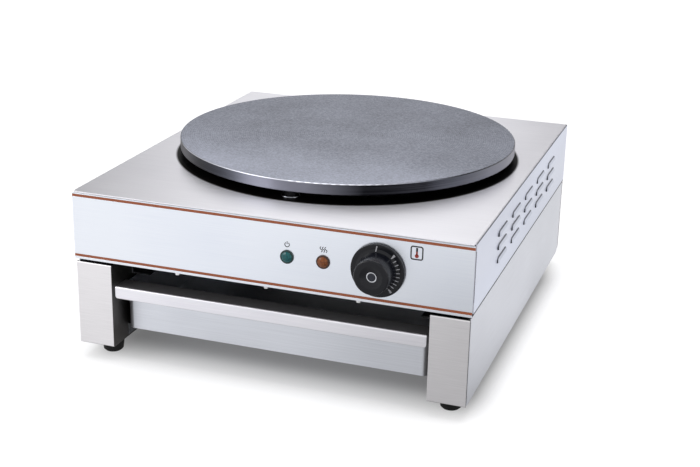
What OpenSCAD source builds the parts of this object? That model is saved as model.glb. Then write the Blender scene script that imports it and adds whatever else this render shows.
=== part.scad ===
// Electric crepe maker: a cast-iron cooking plate on three levelling studs over a folded
// sheet-steel housing, standing on two leg boxes with a utensil drawer between them.
// Millimetres. +X is the user's right, +Y goes to the back, +Z up. The front is at -Y.

/* [Cooking plate] */
// Diameter of the cooking plate
plate_d = 400; // [380:1:410]
// Height of the plate's rim
plate_rim_h = 13.3; // [12:0.1:16]
// Thickness of the plate inside its rim
plate_web = 8; // [6:0.5:9]
// Width of the thick rim under the plate
plate_rim_w = 24; // [22:1:30]
// Radius of the plate's edges
plate_edge_r = 1.2; // [0.6:0.1:2]
// Air gap between the housing top and the plate's rim
plate_lift = 8; // [7.5:0.5:12]
// Plate centre behind the middle of the housing
plate_back = 16; // [6:1:20]
// Number of levelling studs under the plate
stud_count = 3; // [3:1:4]
// Diameter of the levelling studs
stud_d = 8; // [6:1:8]
// Distance of the studs from the plate's edge
stud_inset = 12; // [11:0.5:13]
// Diameter of the bright seat washers
seat_d = 21; // [18:0.5:22]

/* [Heater] */
// Diameter of the heating tube
element_d = 8; // [6:0.5:8.5]
// Radius of the innermost half turn
element_r = 48; // [44:1:50]
// Distance of the outermost turn from the pan's wall
element_wall_gap = 11; // [11:1:24]
// Number of half turns
element_halves = 6; // [4:2:6]
// Thickness of the clamping spider
clamp_t = 2.5; // [2:0.5:4]
// Gap between the heat shield's lip and the seat washers
shield_gap = 5.5; // [2:0.5:12]
// Depth of the heat shield pan below the housing top
shield_depth = 36; // [30:1:40]
// Thickness of the fibre pad in the pan
pad_t = 12; // [8:1:16]

/* [Housing] */
// Width of the housing
body_w = 450; // [440:1:470]
// Depth of the housing
body_d = 495; // [470:1:520]
// Height of the housing
body_h = 78; // [74:1:90]
// Sheet thickness of the housing
sheet = 1.2; // [1:0.1:1.5]
// Outside radius of the folds
fold_r = 2; // [1.8:0.1:3]
// Width of the folded-in bottom flanges
flange_w = 28; // [26:1:32]
// How far the cover's side walls stop behind the front panel's face
cover_setback = 3.5; // [2:0.5:5]
// Columns of louvres on each side
louvre_cols = 5; // [1:1:5]
// Rows of louvres on each side
louvre_rows = 3; // [1:1:3]
// Length of a louvre
louvre_l = 44; // [24:1:50]
// Height of a louvre
louvre_h = 6.5; // [5:0.5:8]
// How far a louvre stands out
louvre_out = 3; // [2.5:0.5:4]
// Distance between louvre columns
louvre_pitch = 67; // [50:1:70]
// Distance between louvre rows
louvre_row_pitch = 15; // [12:1:16]
// Height of the lowest louvre edge above the housing bottom
louvre_z = 22.8; // [18:0.2:26]
// Middle of the louvre field behind the middle of the housing
louvre_back = 10; // [0:1:20]

/* [Control panel] */
// Thickness of the fascia sheet
fascia_t = 0.8; // [0.6:0.1:1]
// Height of the copper stripes
stripe_h = 3; // [2:0.5:4]
// Depth of the stripes in the fascia
stripe_t = 0.4; // [0.3:0.1:0.5]
// Distance of the stripes from the fascia's edges
stripe_inset = 3; // [2:0.5:5]
// Height of knob and lamps above the housing bottom
control_z = 37.5; // [36:0.5:40]
// Knob centre from the right side of the housing
knob_inset = 100; // [85:1:110]
// Distance from the knob to the nearer lamp
lamp_gap = 59.5; // [50:0.1:70]
// Distance between the two lamps
lamp_pitch = 39.8; // [36:0.1:42]
// Diameter of the lamp bezels
lamp_d = 15; // [14:0.5:16]
// Diameter of the lamp bodies
lamp_body_d = 11; // [10:0.5:12]
// Length of the lamp bodies behind the fascia
lamp_body_l = 26; // [22:1:30]
// Diameter of the knob's dial skirt
knob_d = 57.5; // [54:0.5:60]
// Diameter of the knob's grip at its face
grip_d = 37.5; // [34:0.5:40]
// Knob's length in front of the fascia
knob_l = 25; // [22:1:28]
// Air gap between knob and fascia
knob_gap = 1; // [0.8:0.1:1.5]
// Diameter of the thermostat shaft
shaft_d = 6; // [5.5:0.5:6.5]
// Radial clearance of the shaft in its bush
shaft_clear = 0.05; // [0.02:0.01:0.09]

/* [Base] */
// How far the sides of the base stand inside the sides of the housing
base_side_inset = 2; // [1:0.5:4]
// Height of the leg boxes
base_h = 97.9; // [95:0.1:110]
// Gap between base and housing
base_gap = 2.8; // [2:0.1:4]
// How far the base sits behind the fascia
base_setback = 0.5; // [0.5:0.5:3]
// How far the base reaches behind the housing
base_tail = 9.5; // [6:0.5:12]
// Width of the legs' front faces
leg_w = 41.8; // [40:0.1:47]
// Sheet thickness of the base
base_sheet = 1.5; // [1.2:0.1:1.8]
// Gap between the leg boxes and the side panels
seam = 1.2; // [0.8:0.1:1.6]
// Shadow gap between the legs' front faces and the side panels' edges
side_seam = 2.5; // [2:0.1:4]
// Radius of the rear bottom corner of the legs
leg_heel_r = 8; // [6:0.5:10]
// Height of the rubber feet
foot_h = 18; // [11:0.1:20]
// Diameter of the feet at their top
foot_d = 25.5; // [24.5:0.5:30]
// Diameter of the feet where they stand
foot_sole_d = 22.5; // [20:0.5:24]
// Foot centre from the front and back of the legs
foot_inset = 32.5; // [18:0.5:40]

/* [Drawer] */
// Gap between the drawer tray and each leg
drawer_side_gap = 6.2; // [5:0.1:8]
// Gap between the closed drawer and the rear wall's folds
drawer_rear_gap = 19.4; // [15:0.2:40]
// Height of the drawer from its floor to the handle top
drawer_h = 56.8; // [50:0.2:60]
// Sheet thickness of the drawer
drawer_sheet = 1.2; // [1:0.1:1.5]
// Radius of the tray's upright corners
drawer_corner_r = 7; // [5:0.5:10]
// Handle top below the housing
drawer_drop = 27.5; // [22:0.1:30]
// How far the handle bar stands out from the drawer front
handle_reach = 21.6; // [18:0.1:23]
// Height of the handle bar
handle_h = 14.5; // [12:0.1:18]
// Gap at each end of the handle bar
handle_gap = 3.2; // [2:0.1:4]
// Radius of the handle bar's lower corners
handle_corner_r = 4; // [2:0.5:5]
// Width of the runner ledges
runner_w = 16; // [14:1:20]
// Width of the guides over the drawer's rim
guide_w = 22; // [18:1:24]
// Running gap between drawer and runners
running_gap = 0.3; // [0.25:0.05:0.4]
// How far the drawer pulls out
drawer_travel = 330; // [250:5:340]

/* [Rear] */
// Cable gland from the right side of the housing
gland_inset = 75; // [60:1:100]
// Bore of the cable gland
gland_bore = 9; // [7:0.5:10]
// Length of the gland outside the rear panel
gland_l = 22; // [18:1:26]

/* [Hidden] */

$fn = 48;
eps = 0.01;            // overshoot of cutting tools
contact = 0.05;        // clearance of pieces that lie on each other
fit = 0.2;             // clearance of screws in their holes
steel = [0.84, 0.85, 0.88];
bright = [0.92, 0.92, 0.94];
zinc = [0.66, 0.67, 0.69];
iron = [0.40, 0.42, 0.46];
black = [0.09, 0.09, 0.10];

// Heights
z_base = foot_h;                            // underside of the leg boxes
z_base_top = z_base + base_h;
z0 = z_base_top + base_gap;                 // underside of the housing
z_top = z0 + body_h;                        // housing top
z_rim = z_top + plate_lift;                 // underside of the plate's rim
z_web = z_rim + plate_rim_h - plate_web;    // underside of the plate inside its rim
z_plate = z_rim + plate_rim_h;
z_control = z0 + control_z;

// Depths
y_fascia = -body_d / 2;
y_front = y_fascia + fascia_t;              // face of the steel front panel
y_rear = body_d / 2;
y_leg = y_fascia + base_setback;
y_leg_rear = y_rear + base_tail;
y_out = min(y_fascia - knob_l, y_leg);
y_back = max(y_rear + gland_l, y_leg_rear);
y_mid = (y_out + y_back) / 2;               // middle of the whole object's depth

// Housing insides
x_in = body_w / 2 - sheet;                  // inner face of a side wall
panel_gap = 0.3;                            // gap between the panels' folds
floor_t = 1.2;
bolt_x = body_w / 2 - flange_w / 2 - 4;
bolt_inset = 49.5;                          // end bolts from the front and the rear
bolt_y = [y_fascia + bolt_inset, 0, y_rear - bolt_inset];
bolt_d = 6;
bolt_l = 20;
bolt_af = 10;
bolt_head_h = 4;
nut_h = 5;
panel_screw_pitch = 103;
panel_screw_x = panel_screw_pitch * [-1, 0, 1];
panel_screw_inset = 5.5;
return_w = 16;                              // width of the front and rear panels' folds

// Legs
base_w = body_w - 2 * base_side_inset;
x_leg_in = base_w / 2 - leg_w;
x_leg_out = base_w / 2 - base_sheet - seam;
foot_x = (x_leg_in + x_leg_out) / 2 - 1;
foot_y = [y_leg + foot_inset, y_leg_rear - foot_inset];
foot_screw_d = 5;

// Drawer
z_handle = z0 - drawer_drop;                // top of the handle
z_tray = z_handle - drawer_h;               // underside of the tray
y_bar = y_leg + 2;                          // front face of the handle bar
y_tray = y_bar + handle_reach;              // front face of the tray
back_fold = 16;                             // depth of the rear wall's side folds
back_inset = 2;                             // rear wall in from the back of the legs
y_tray_rear = y_leg_rear - back_inset - back_fold - drawer_rear_gap;
drawer_w = 2 * (x_leg_in - drawer_side_gap);
z_tray_rim = z_handle - drawer_sheet - contact;
handle_w = 2 * (x_leg_in - handle_gap);
runner_back = y_tray_rear + running_gap;
guide_t = 1.5;
guide_front = y_tray + 24;
guide_rivet_y = [guide_front + 25, (guide_front + runner_back) / 2, runner_back - 25];
stop_y = y_tray_rear - drawer_travel - drawer_sheet - running_gap;   // what stops the tray's rear wall
stop_h = 8;
guide_flange = 14;                          // height of the guides' upright legs
runner_flange = 13;

// Louvres
louvre_r = (pow(louvre_out, 2) + pow(louvre_h, 2)) / (2 * louvre_out);
louvre_sink = louvre_r - louvre_out;

// Plate and heater
plate_r = plate_d / 2;
stud_r = plate_r - stud_inset;
stud_angles = [for (i = [0 : stud_count - 1]) -90 + i * 360 / stud_count];
seat_t = 2.4;
z_element = z_web - element_d / 2 - contact;
z_clamp = z_element - element_d / 2 - contact - clamp_t;
shield_sheet = 1;
shield_lip = 14;
shield_r = stud_r - seat_d / 2 - shield_gap - shield_lip;
shield_bend = 3;                            // radius inside the pan's corner
z_shield = z_top - shield_depth;            // upper face of the pan's floor
element_pitch = (shield_r - element_wall_gap - element_r) / (element_halves / 2 - 0.25);
spiral_x = -element_pitch / 4;              // centres the spiral under the plate
element_end = element_r + element_halves / 2 * element_pitch;
element_bend = 10;                          // bend radius of the heater's ends
element_ends = [element_r, element_end];
z_leads = z_shield - shield_sheet - 9;      // lower end of the heater's legs
pin_l = 5;
lead_hole_d = element_d + 3;

// Controls
knob_x = body_w / 2 - knob_inset;
bush_d = 10;
bush_l = sheet + fascia_t + 2;
thermostat = [44, 34, 36];                  // width, length and height of the thermostat
lamp_xs = [knob_x - lamp_gap - lamp_pitch, knob_x - lamp_gap];
thermostat_screw_pitch = 28;
y_panel_in = y_front + sheet;               // inner face of the front panel
y_knob = y_fascia - knob_gap;               // rear face of the knob's skirt
grip_taper = 1.7;
cap_d = 11;
cap_t = 1.4;
skirt_t = 3;
skirt_hollow = 1.6;
dish_d = 24;
dish = 2.4;                                 // depth of the dish in the knob's face
hub_d = 13;
hub_deep = 14;                              // how far the shaft reaches into the knob
shaft_flat = 2;                             // shaft axis to its flat
shaft_deep = 12;                            // how far the shaft reaches into the thermostat
tab_xs = [-12, 12];
tab_z = 8;
lamp_lip = 1.6;
lens_d = 11.6;
lens_deep = 8;
bulb_y = 27;                                // sensor bulb behind the plate's centre
bulb_d = 6;
bulb_l = 40;
capillary_d = 2;
capillary_x = spiral_x + bulb_l / 2 + 7;
cutout_x = -55;
cutout_h = 9;
cutout_tab_l = 7;

// Wiring and rear
gland_x = body_w / 2 - gland_inset;
floor_top = z0 + sheet + contact + floor_t;
wire_d = 2.6;
terminal = [60, 22, 20];
terminal_pitch = 11.4;
lamp_tab_l = 7;
terminal_off = [60, 50];                    // terminal block from the gland and the rear
terminal_at = [gland_x - terminal_off[0], y_rear - terminal_off[1], floor_top];
terminal_wire_z = 6;
terminal_wire_d = 3.2;
gland_af = 24;
gland_thread_d = 20;
gland_thread_l = 11;
earth_pitch = 32;
earth_d = 5;
rivet_d = 3.2;

// ---------- helpers ----------

module bar_y(y1, y2) translate([0, y2, 0]) rotate([90, 0, 0]) linear_extrude(height = y2 - y1) children();
module bar_x(x1, x2) translate([x1, 0, 0]) rotate([90, 0, 90]) linear_extrude(height = x2 - x1) children();
module slab(z1, z2) translate([0, 0, z1]) linear_extrude(height = z2 - z1) children();
module block(x, y, z) translate([x[0], y[0], z[0]]) cube([x[1] - x[0], y[1] - y[0], z[1] - z[0]]);
module rod_z(p, d, h) translate(p) cylinder(d = d, h = h);
module rod_y(p, d, l) translate(p) rotate([-90, 0, 0]) cylinder(d = d, h = l);
module rod_x(p, d, l) translate(p) rotate([0, 90, 0]) cylinder(d = d, h = l);
module hex_z(p, af, h) translate(p) rotate(30) cylinder(d = af / cos(30), h = h, $fn = 6);
module both() { children(); mirror([1, 0, 0]) children(); }
module standing() translate([0, -y_mid, 0]) children();

// Rectangle from a1, b1 to a2, b2 with a radius at each corner, anticlockwise from a1, b1
module sheet_2d(a1, a2, b1, b2, r = [0, 0, 0, 0]) {
    difference() {
        translate([a1, b1]) square([a2 - a1, b2 - b1]);
        corner_cut([a1, b1], r[0], [1, 1]);
        corner_cut([a2, b1], r[1], [-1, 1]);
        corner_cut([a2, b2], r[2], [-1, -1]);
        corner_cut([a1, b2], r[3], [1, -1]);
    }
}

module corner_cut(p, r, s) {
    if (r > 0) translate(p) scale([s[0], s[1]]) difference() {
        translate([-1, -1]) square(r + 1);
        translate([r, r]) circle(r);
    }
}

// A wire or tube swept through a list of points, with its corners rounded to radius bend
module wire(points, d, bend = 5, sides = 8) {
    path = [points[0], for (i = [1 : len(points) - 2]) each rounded_corner(points[i - 1], points[i],
        points[i + 1], bend), points[len(points) - 1]];
    n = len(path);
    tangents = [for (i = [0 : n - 1]) unit(path[min(i + 1, n - 1)] - path[max(i - 1, 0)])];
    side = abs(tangents[0][2]) < 0.9 ? [0, 0, 1] : [1, 0, 0];
    normals = [for (i = 0, v = unit(cross(tangents[0], side)); i < n; i = i + 1,
        v = i < n ? unit(v - (v * tangents[i]) * tangents[i]) : v) v];
    rings = [for (i = [0 : n - 1], k = [0 : sides - 1]) let (a = 360 * k / sides)
        path[i] + d / 2 * (cos(a) * normals[i] + sin(a) * cross(tangents[i], normals[i]))];
    walls = [for (i = [0 : n - 2], k = [0 : sides - 1]) let (m = (k + 1) % sides)
        [i * sides + k, (i + 1) * sides + k, (i + 1) * sides + m, i * sides + m]];
    polyhedron(rings, concat([[for (k = [0 : sides - 1]) k]], walls,
        [[for (k = [sides - 1 : -1 : 0]) (n - 1) * sides + k]]));
}

function unit(v) = v / norm(v);

// Three points of an arc that replaces the corner p between a and b
function rounded_corner(a, p, b, r) = let (u = unit(a - p), v = unit(b - p),
    c = min(r, 0.45 * norm(a - p), 0.45 * norm(b - p)))
    [p + c * u, p + c * (1 - sqrt(0.5)) * (u + v), p + c * v];

// Pan-head screw along +Z with the underside of its head at the origin
module screw(d, l, head_h = 2) {
    cylinder(d = d, h = l);
    difference() {
        translate([0, 0, -head_h]) cylinder(d1 = d * 1.5, d2 = d * 2, h = head_h);
        translate([0, 0, -head_h - eps]) for (a = [0, 90]) rotate(a) translate([-d / 2, -0.4, 0])
            cube([d, 0.8, 0.8]);
    }
}

// ---------- housing ----------

module louvre_pill(r) {
    rotate([90, 0, 0]) rotate_extrude() intersection() {
        union() {
            square([2 * r, louvre_l - 2 * louvre_h], center = true);
            for (s = [-1, 1]) translate([0, s * (louvre_l / 2 - louvre_h)]) circle(r);
        }
        translate([0, -louvre_l]) square([r + 1, 2 * louvre_l]);
    }
}

module at_louvres() {
    for (i = [0 : louvre_cols - 1], j = [0 : louvre_rows - 1])
        translate([body_w / 2 - louvre_sink, louvre_back + (i - (louvre_cols - 1) / 2) * louvre_pitch,
            z0 + louvre_z + j * louvre_row_pitch]) children();
}

module louvre_hood() intersection() {
    louvre_pill(louvre_r);
    translate([louvre_sink - sheet / 2, -louvre_l, 0]) cube([louvre_r, 2 * louvre_l, louvre_r]);
}

module louvre_hollow() intersection() {
    louvre_pill(louvre_r - sheet);
    translate([0, -louvre_l, 0]) cube([louvre_r, 2 * louvre_l, louvre_r]);
}

// Folded cover: top, both sides with hooded louvres, and folded-in bottom flanges
module top_cover() {
    notch = return_w + panel_gap;
    color(steel) standing() difference() {
        union() {
            bar_y(y_front, y_rear) difference() {
                sheet_2d(-body_w / 2, body_w / 2, z0, z_top, fold_r * [1, 1, 1, 1]);
                sheet_2d(-x_in, x_in, z0 + sheet, z_top - sheet, (fold_r - sheet) * [1, 1, 1, 1]);
                translate([-x_in - sheet + flange_w, z0 - 1]) square([2 * (x_in + sheet - flange_w), sheet + 2]);
            }
            block([-body_w / 2 + 3 * fold_r, body_w / 2 - 3 * fold_r], [y_fascia, y_front + eps], [z_top - sheet, z_top]);
            both() at_louvres() louvre_hood();
        }
        both() at_louvres() louvre_hollow();
        // opening for the heat shield pan
        rod_z([0, plate_back, z_top - sheet - 1], 2 * (shield_r + 1.5), sheet + 2);
        for (a = stud_angles) at_stud(a) rod_z([0, 0, z_top - sheet - 1], stud_d + 2 * fit, sheet + 2);
        at_shield_screws() rod_z([0, 0, -5], 4 + 2 * contact, 10);
        both() {
            // the side walls stop short of the front panel's face
            block([body_w / 2 - fold_r, body_w / 2 + 1], [y_front - 1, y_front + cover_setback], [z0 - 1, z_top + 1]);
            for (y = [y_front, y_rear - notch]) block([x_in - flange_w, x_in], [y - eps, y + notch],
                [z0 - 1, z0 + fold_r + eps]);
            for (y = bolt_y) rod_z([bolt_x, y, z0 - 1], bolt_d + 2 * fit, sheet + 2);
        }
    }
}

module at_stud(a) translate([stud_r * cos(a), plate_back + stud_r * sin(a), 0]) children();

// Panel folded at all four edges, its face at y = 0 and its folds towards +Y
module folded_panel() {
    w = x_in - panel_gap;
    top = z_top - sheet - contact;
    difference() {
        intersection() {
            bar_x(-w, w) sheet_2d(0, return_w, z0, top, [fold_r, 0, 0, fold_r]);
            bar_y(-1, return_w + 1) sheet_2d(-w, w, z0, top, fold_r * [1, 1, 1, 1]);
        }
        bar_y(sheet, return_w + 1) sheet_2d(-w + sheet, w - sheet, z0 + sheet, top - sheet,
            (fold_r - sheet) * [1, 1, 1, 1]);
    }
}

module front_panel() {
    color(steel) standing() difference() {
        translate([0, y_front, 0]) folded_panel();
        for (x = panel_screw_x) rod_z([x, y_front + panel_screw_inset, z0 - 1], 4 + 2 * fit, sheet + 2);
        for (x = lamp_xs) rod_y([x, y_front - 1, z_control], lamp_body_d + 2 * fit, sheet + 2);
        rod_y([knob_x, y_front - 1, z_control], bush_d + 2 * fit, sheet + 2);
        for (s = [-1, 1]) rod_y([knob_x + s * thermostat_screw_pitch / 2, y_front - 1, z_control],
            4 + 2 * fit, sheet + 2);
    }
}

// Thin facing sheet over the front panel
module fascia() {
    color([0.90, 0.91, 0.94]) standing() difference() {
        bar_y(y_fascia, y_front - contact) sheet_2d(-body_w / 2 + 0.4, body_w / 2 - 0.4, z0 + 0.3,
            z_top - sheet - 0.6);
        at_stripes() block([-body_w / 2, body_w / 2], [-1, stripe_t], [0, stripe_h]);
        for (x = lamp_xs) rod_y([x, y_fascia - 1, z_control], lamp_body_d + 2 * fit, fascia_t + 2);
        rod_y([knob_x, y_fascia - 1, z_control], thermostat_screw_pitch + 10, fascia_t + 2);
    }
}

module at_stripes() {
    for (z = [z0 + stripe_inset, z_top - stripe_inset - stripe_h]) translate([0, y_fascia, z]) children();
}

module fascia_stripes() {
    color([0.72, 0.41, 0.25]) standing() at_stripes()
        block([-body_w / 2 + 0.4, body_w / 2 - 0.4], [0, stripe_t], [contact, stripe_h - contact]);
}

module rear_panel() {
    slot_w = 5;
    slot_x = -150;
    color(steel) standing() difference() {
        translate([0, y_rear, 0]) mirror([0, 1, 0]) folded_panel();
        for (x = panel_screw_x) rod_z([x, y_rear - panel_screw_inset, z0 - 1], 4 + 2 * fit, sheet + 2);
        rod_y([gland_x, y_rear - sheet - 1, z_control], gland_thread_d + 2 * fit, sheet + 2);
        rod_y([gland_x - earth_pitch, y_rear - sheet - 1, z_control], earth_d + 2 * fit, sheet + 2);
        // ventilation slots
        for (i = [0 : 11]) bar_y(y_rear - sheet - 1, y_rear + 1)
            sheet_2d(slot_x + i * 14, slot_x + i * 14 + slot_w, z0 + 26, z0 + 58, slot_w / 2 * [1, 1, 1, 1]);
    }
}

module floor_panel() {
    slot_w = 5;
    color(zinc) standing() difference() {
        slab(z0 + sheet + contact, z0 + sheet + contact + floor_t)
            sheet_2d(-x_in + sheet + 1, x_in - sheet - 1, y_panel_in + 1, y_rear - sheet - 1, 4 * [1, 1, 1, 1]);
        at_panel_screws() rod_z([0, 0, -1], 4 + 2 * fit, sheet + floor_t + 3);
        both() for (y = bolt_y) rod_z([bolt_x, y, z0], bolt_d + 2 * fit, 4);
        for (i = [0 : 6], j = [-1, 1]) slab(z0, z0 + 4) translate([j * 70 + (i - 3) * 14, plate_back])
            sheet_2d(-slot_w / 2, slot_w / 2, -45, 45, slot_w / 2 * [1, 1, 1, 1]);
    }
}

module at_panel_screws() {
    for (x = panel_screw_x, y = [y_front + panel_screw_inset, y_rear - panel_screw_inset])
        translate([x, y, z0]) children();
}

module panel_screws() color(bright) standing() at_panel_screws() screw(4, 10, 3.4);

// ---------- base ----------

// Leg box: one folded piece, open on its outer side, with a rounded heel; its front and rear
// faces reach out to the side of the base
module leg_frame() {
    r = fold_r;
    t = base_sheet;
    difference() {
        bar_x(x_leg_in, base_w / 2) sheet_2d(y_leg, y_leg_rear, z_base, z_base_top, [r, leg_heel_r, r, r]);
        bar_x(x_leg_in + t, base_w) sheet_2d(y_leg + t, y_leg_rear - t, z_base + t, z_base_top - t,
            [0.5, leg_heel_r - t, 0.5, 0.5]);
        block([x_leg_out, base_w], [y_leg + t, y_leg_rear - t], [z_base - 1, z_base_top + 1]);
        for (y = bolt_y) rod_z([bolt_x, y, z_base_top - t - 1], bolt_d + 2 * fit, t + 2);
        for (y = foot_y) rod_z([foot_x, y, z_base - 1], foot_screw_d + 2 * fit, t + 2);
        at_guide_rivets() rod_x([-1, 0, 0], rivet_d, t + 2);
    }
}

module leg_frame_right() color(steel) standing() leg_frame();
module leg_frame_left() color(steel) standing() mirror([1, 0, 0]) leg_frame();

// Outer side panel with four lugs that reach into the leg box
module side_panel() {
    t = base_sheet;
    x_face = base_w / 2;
    lug = 12;
    lug_l = 30;
    lug_inset = 70;
    bar_x(x_face - t, x_face) sheet_2d(y_leg + t + side_seam, y_leg_rear - t - side_seam, z_base, z_base_top,
        [fold_r, leg_heel_r, fold_r, fold_r]);
    for (y = [y_leg + lug_inset, y_leg_rear - lug_inset - lug_l], z = [z_base + t + contact, z_base_top - 2 * t - contact])
        block([x_face - t - seam - lug, x_face - t + eps], [y, y + lug_l], [z, z + t]);
}

module side_panel_right() color(steel) standing() side_panel();
module side_panel_left() color(steel) standing() mirror([1, 0, 0]) side_panel();

// Rear wall of the drawer bay with folded side flanges
module base_back_panel() {
    t = base_sheet;
    y = y_leg_rear - back_inset;
    x = x_leg_in - contact;
    color(steel) standing() slab(z_base + 12, z_base_top - t) difference() {
        sheet_2d(-x, x, y - back_fold, y, [0, 0, fold_r, fold_r]);
        sheet_2d(-x + t, x - t, y - back_fold - 1, y - t, [0, 0, 0.5, 0.5]);
    }
}

module at_guide_rivets() {
    for (y = guide_rivet_y, z = [z_tray - guide_flange / 2 - 1, z_tray_rim + guide_flange / 2 + 1]) translate([x_leg_in, y, z]) children();
}

// Ledge that carries the drawer: an angle with a folded-up stop at its rear end
module runner() {
    t = guide_t;
    z = z_tray - running_gap;
    x = x_leg_in - contact;
    difference() {
        union() {
            bar_y(y_tray + 10, runner_back + t) {
                sheet_2d(x - runner_w, x, z - t, z);
                sheet_2d(x - t, x, z - runner_flange, z - t + eps);
            }
            block([x - runner_w, x - 2], [runner_back, runner_back + t], [z - eps, z + guide_flange]);
        }
        at_guide_rivets() rod_x([-t - 1, 0, 0], rivet_d, t + 2);
    }
}

module runner_right() color(zinc) standing() runner();
module runner_left() color(zinc) standing() mirror([1, 0, 0]) runner();

// Guide over the tray's rim, so the open drawer can't tip, with a stop for its rear wall
module guide() {
    t = guide_t;
    z = z_tray_rim + running_gap;
    x = x_leg_in - contact;
    difference() {
        union() {
            bar_y(guide_front, runner_back) {
                sheet_2d(x - guide_w, x, z, z + t);
                sheet_2d(x - t, x, z + t - eps, z + guide_flange);
            }
            block([x - guide_w, drawer_w / 2 - drawer_corner_r], [stop_y - 2 * t, stop_y], [z_tray_rim - stop_h, z + eps]);
        }
        at_guide_rivets() rod_x([-t - 1, 0, 0], rivet_d, t + 2);
    }
}

module guide_right() color(zinc) standing() guide();
module guide_left() color(zinc) standing() mirror([1, 0, 0]) guide();

module guide_rivets() {
    color(zinc) standing() both() at_guide_rivets() {
        rod_x([-guide_t - contact, 0, 0], rivet_d, guide_t + base_sheet + contact);
        translate([-guide_t - contact, 0, 0]) rotate([0, -90, 0]) cylinder(d1 = 6, d2 = 4, h = 1.2);
        translate([base_sheet, 0, 0]) rotate([0, 90, 0]) cylinder(d1 = 5.5, d2 = 4, h = 1);
    }
}

module at_base_bolts() both() for (y = bolt_y) translate([bolt_x, y, z0]) children();

module base_spacers() {
    color(black) standing() at_base_bolts() translate([0, 0, -base_gap]) difference() {
        cylinder(d = 3 * bolt_d, h = base_gap);
        translate([0, 0, -1]) cylinder(d = bolt_d + 2 * fit, h = base_gap + 2);
    }
}

module base_bolts() {
    color(zinc) standing() at_base_bolts() {
        translate([0, 0, -base_gap - base_sheet]) cylinder(d = bolt_d, h = bolt_l);
        hex_z([0, 0, -base_gap - base_sheet - bolt_head_h], bolt_af, bolt_head_h);
    }
}

module base_nuts() {
    color(zinc) standing() at_base_bolts() difference() {
        hex_z([0, 0, sheet + floor_t + 2 * contact], bolt_af, nut_h);
        cylinder(d = bolt_d, h = bolt_l);
    }
}

module at_feet() both() for (y = foot_y) translate([foot_x, y, 0]) children();

// Tapered rubber feet with a recess for the screw head
module rubber_feet() {
    round_r = 2;
    color(black) standing() at_feet() rotate_extrude() difference() {
        polygon([[0, 0], [foot_sole_d / 2 - round_r, 0], [foot_sole_d / 2, round_r],
            [foot_d / 2, foot_h * 0.7], [foot_d / 2, foot_h], [0, foot_h]]);
        translate([-1, -1]) square([6.5 + 1, foot_h * 0.55 + 1]);
        translate([-1, -1]) square([foot_screw_d / 2 + fit + 1, foot_h + 2]);
    }
}

module foot_screws() {
    color(zinc) standing() at_feet() {
        translate([0, 0, foot_h * 0.55]) screw(foot_screw_d, foot_h * 0.45 + base_sheet + 7);
        difference() {
            hex_z([0, 0, foot_h + base_sheet + contact], 8, 4);
            translate([0, 0, foot_h]) cylinder(d = foot_screw_d, h = 20);
        }
    }
}

// ---------- plate and heater ----------

module at_plate(z = 0) translate([0, plate_back, z]) children();

// Cast plate: thick rim, thinner web, heater guide rings, centre boss and three stud seats
module cooking_plate() {
    ring_h = 3;
    web = plate_rim_h - plate_web;
    color(iron) standing() difference() {
        at_plate(z_rim) {
            rotate_extrude($fn = 128) difference() {
                sheet_2d(0, plate_r, 0, plate_rim_h, [0, plate_edge_r, plate_edge_r, 0]);
                sheet_2d(-1, plate_r - plate_rim_w, -1, web, [0, 0, 3, 0]);
            }
            rotate_extrude() for (r = [16, element_end - element_pitch / 4 + 6])
                translate([r, web - ring_h]) square([2, ring_h + eps]);
            translate([0, 0, web - element_d / 2]) cylinder(d = 24, h = element_d / 2 + eps);
        }
        for (a = stud_angles) at_stud(a) rod_z([0, 0, z_rim - 1], stud_d + 2 * contact, 10);
        at_plate(z_web - element_d) cylinder(d = 8, h = element_d + 4);
    }
}

module plate_studs() {
    l = z_rim + 8.5 - (z_top - 22);
    color(zinc) standing() for (a = stud_angles) at_stud(a) rod_z([0, 0, z_top - 22], stud_d, l);
}

// Bright washers on the housing top, round edged
module seat_washers() {
    color(bright) standing() for (a = stud_angles) at_stud(a) translate([0, 0, z_top]) rotate_extrude()
        difference() {
            sheet_2d(0, seat_d / 2, 0, seat_t, [0, 0, 1.6, 0]);
            translate([-1, -1]) square([stud_d / 2 + fit + 1, seat_t + 2]);
        }
}

module plate_locknuts() {
    color(black) standing() for (a = stud_angles) at_stud(a) difference() {
        hex_z([0, 0, z_top + seat_t], 13, plate_lift - seat_t);
        rod_z([0, 0, z_top], stud_d, plate_lift + 1);
    }
}

// Washer and nut under the housing top
module plate_underside_nuts() {
    color(zinc) standing() for (a = stud_angles) at_stud(a) difference() {
        union() {
            rod_z([0, 0, z_top - sheet - 1.6], 16, 1.6);
            hex_z([0, 0, z_top - sheet - 1.6 - 6.5], 13, 6.5);
        }
        rod_z([0, 0, z_top - 22], stud_d, 30);
    }
}

// Heating tube: half turns about two centres make a smooth spiral; both ends turn down
module heating_element() {
    color([0.30, 0.31, 0.33]) standing() at_plate(z_element) translate([spiral_x, 0, 0]) {
        for (k = [0 : element_halves - 1])
            translate([k % 2 == 0 ? 0 : element_pitch / 2, 0, 0]) rotate(k % 2 == 0 ? 0 : 180)
                rotate_extrude(angle = 180, $fn = 96)
                    translate([element_r + k * element_pitch / 2, 0]) circle(d = element_d, $fn = 24);
        for (x = element_ends) translate([x, 0, 0]) element_end_bend(x == element_r ? -1 : 1);
    }
}

// A quarter bend from the spiral's end into a straight leg down
module element_end_bend(side) {
    translate([0, 0, -element_bend]) rotate([0, 0, side * 90]) rotate([90, 0, 0])
        rotate_extrude(angle = 90, $fn = 96) translate([element_bend, 0]) circle(d = element_d, $fn = 24);
}

module at_leads() {
    for (i = [0, 1]) translate([spiral_x + element_ends[i], plate_back + (i == 0 ? -1 : 1) * element_bend, 0])
        children();
}

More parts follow.
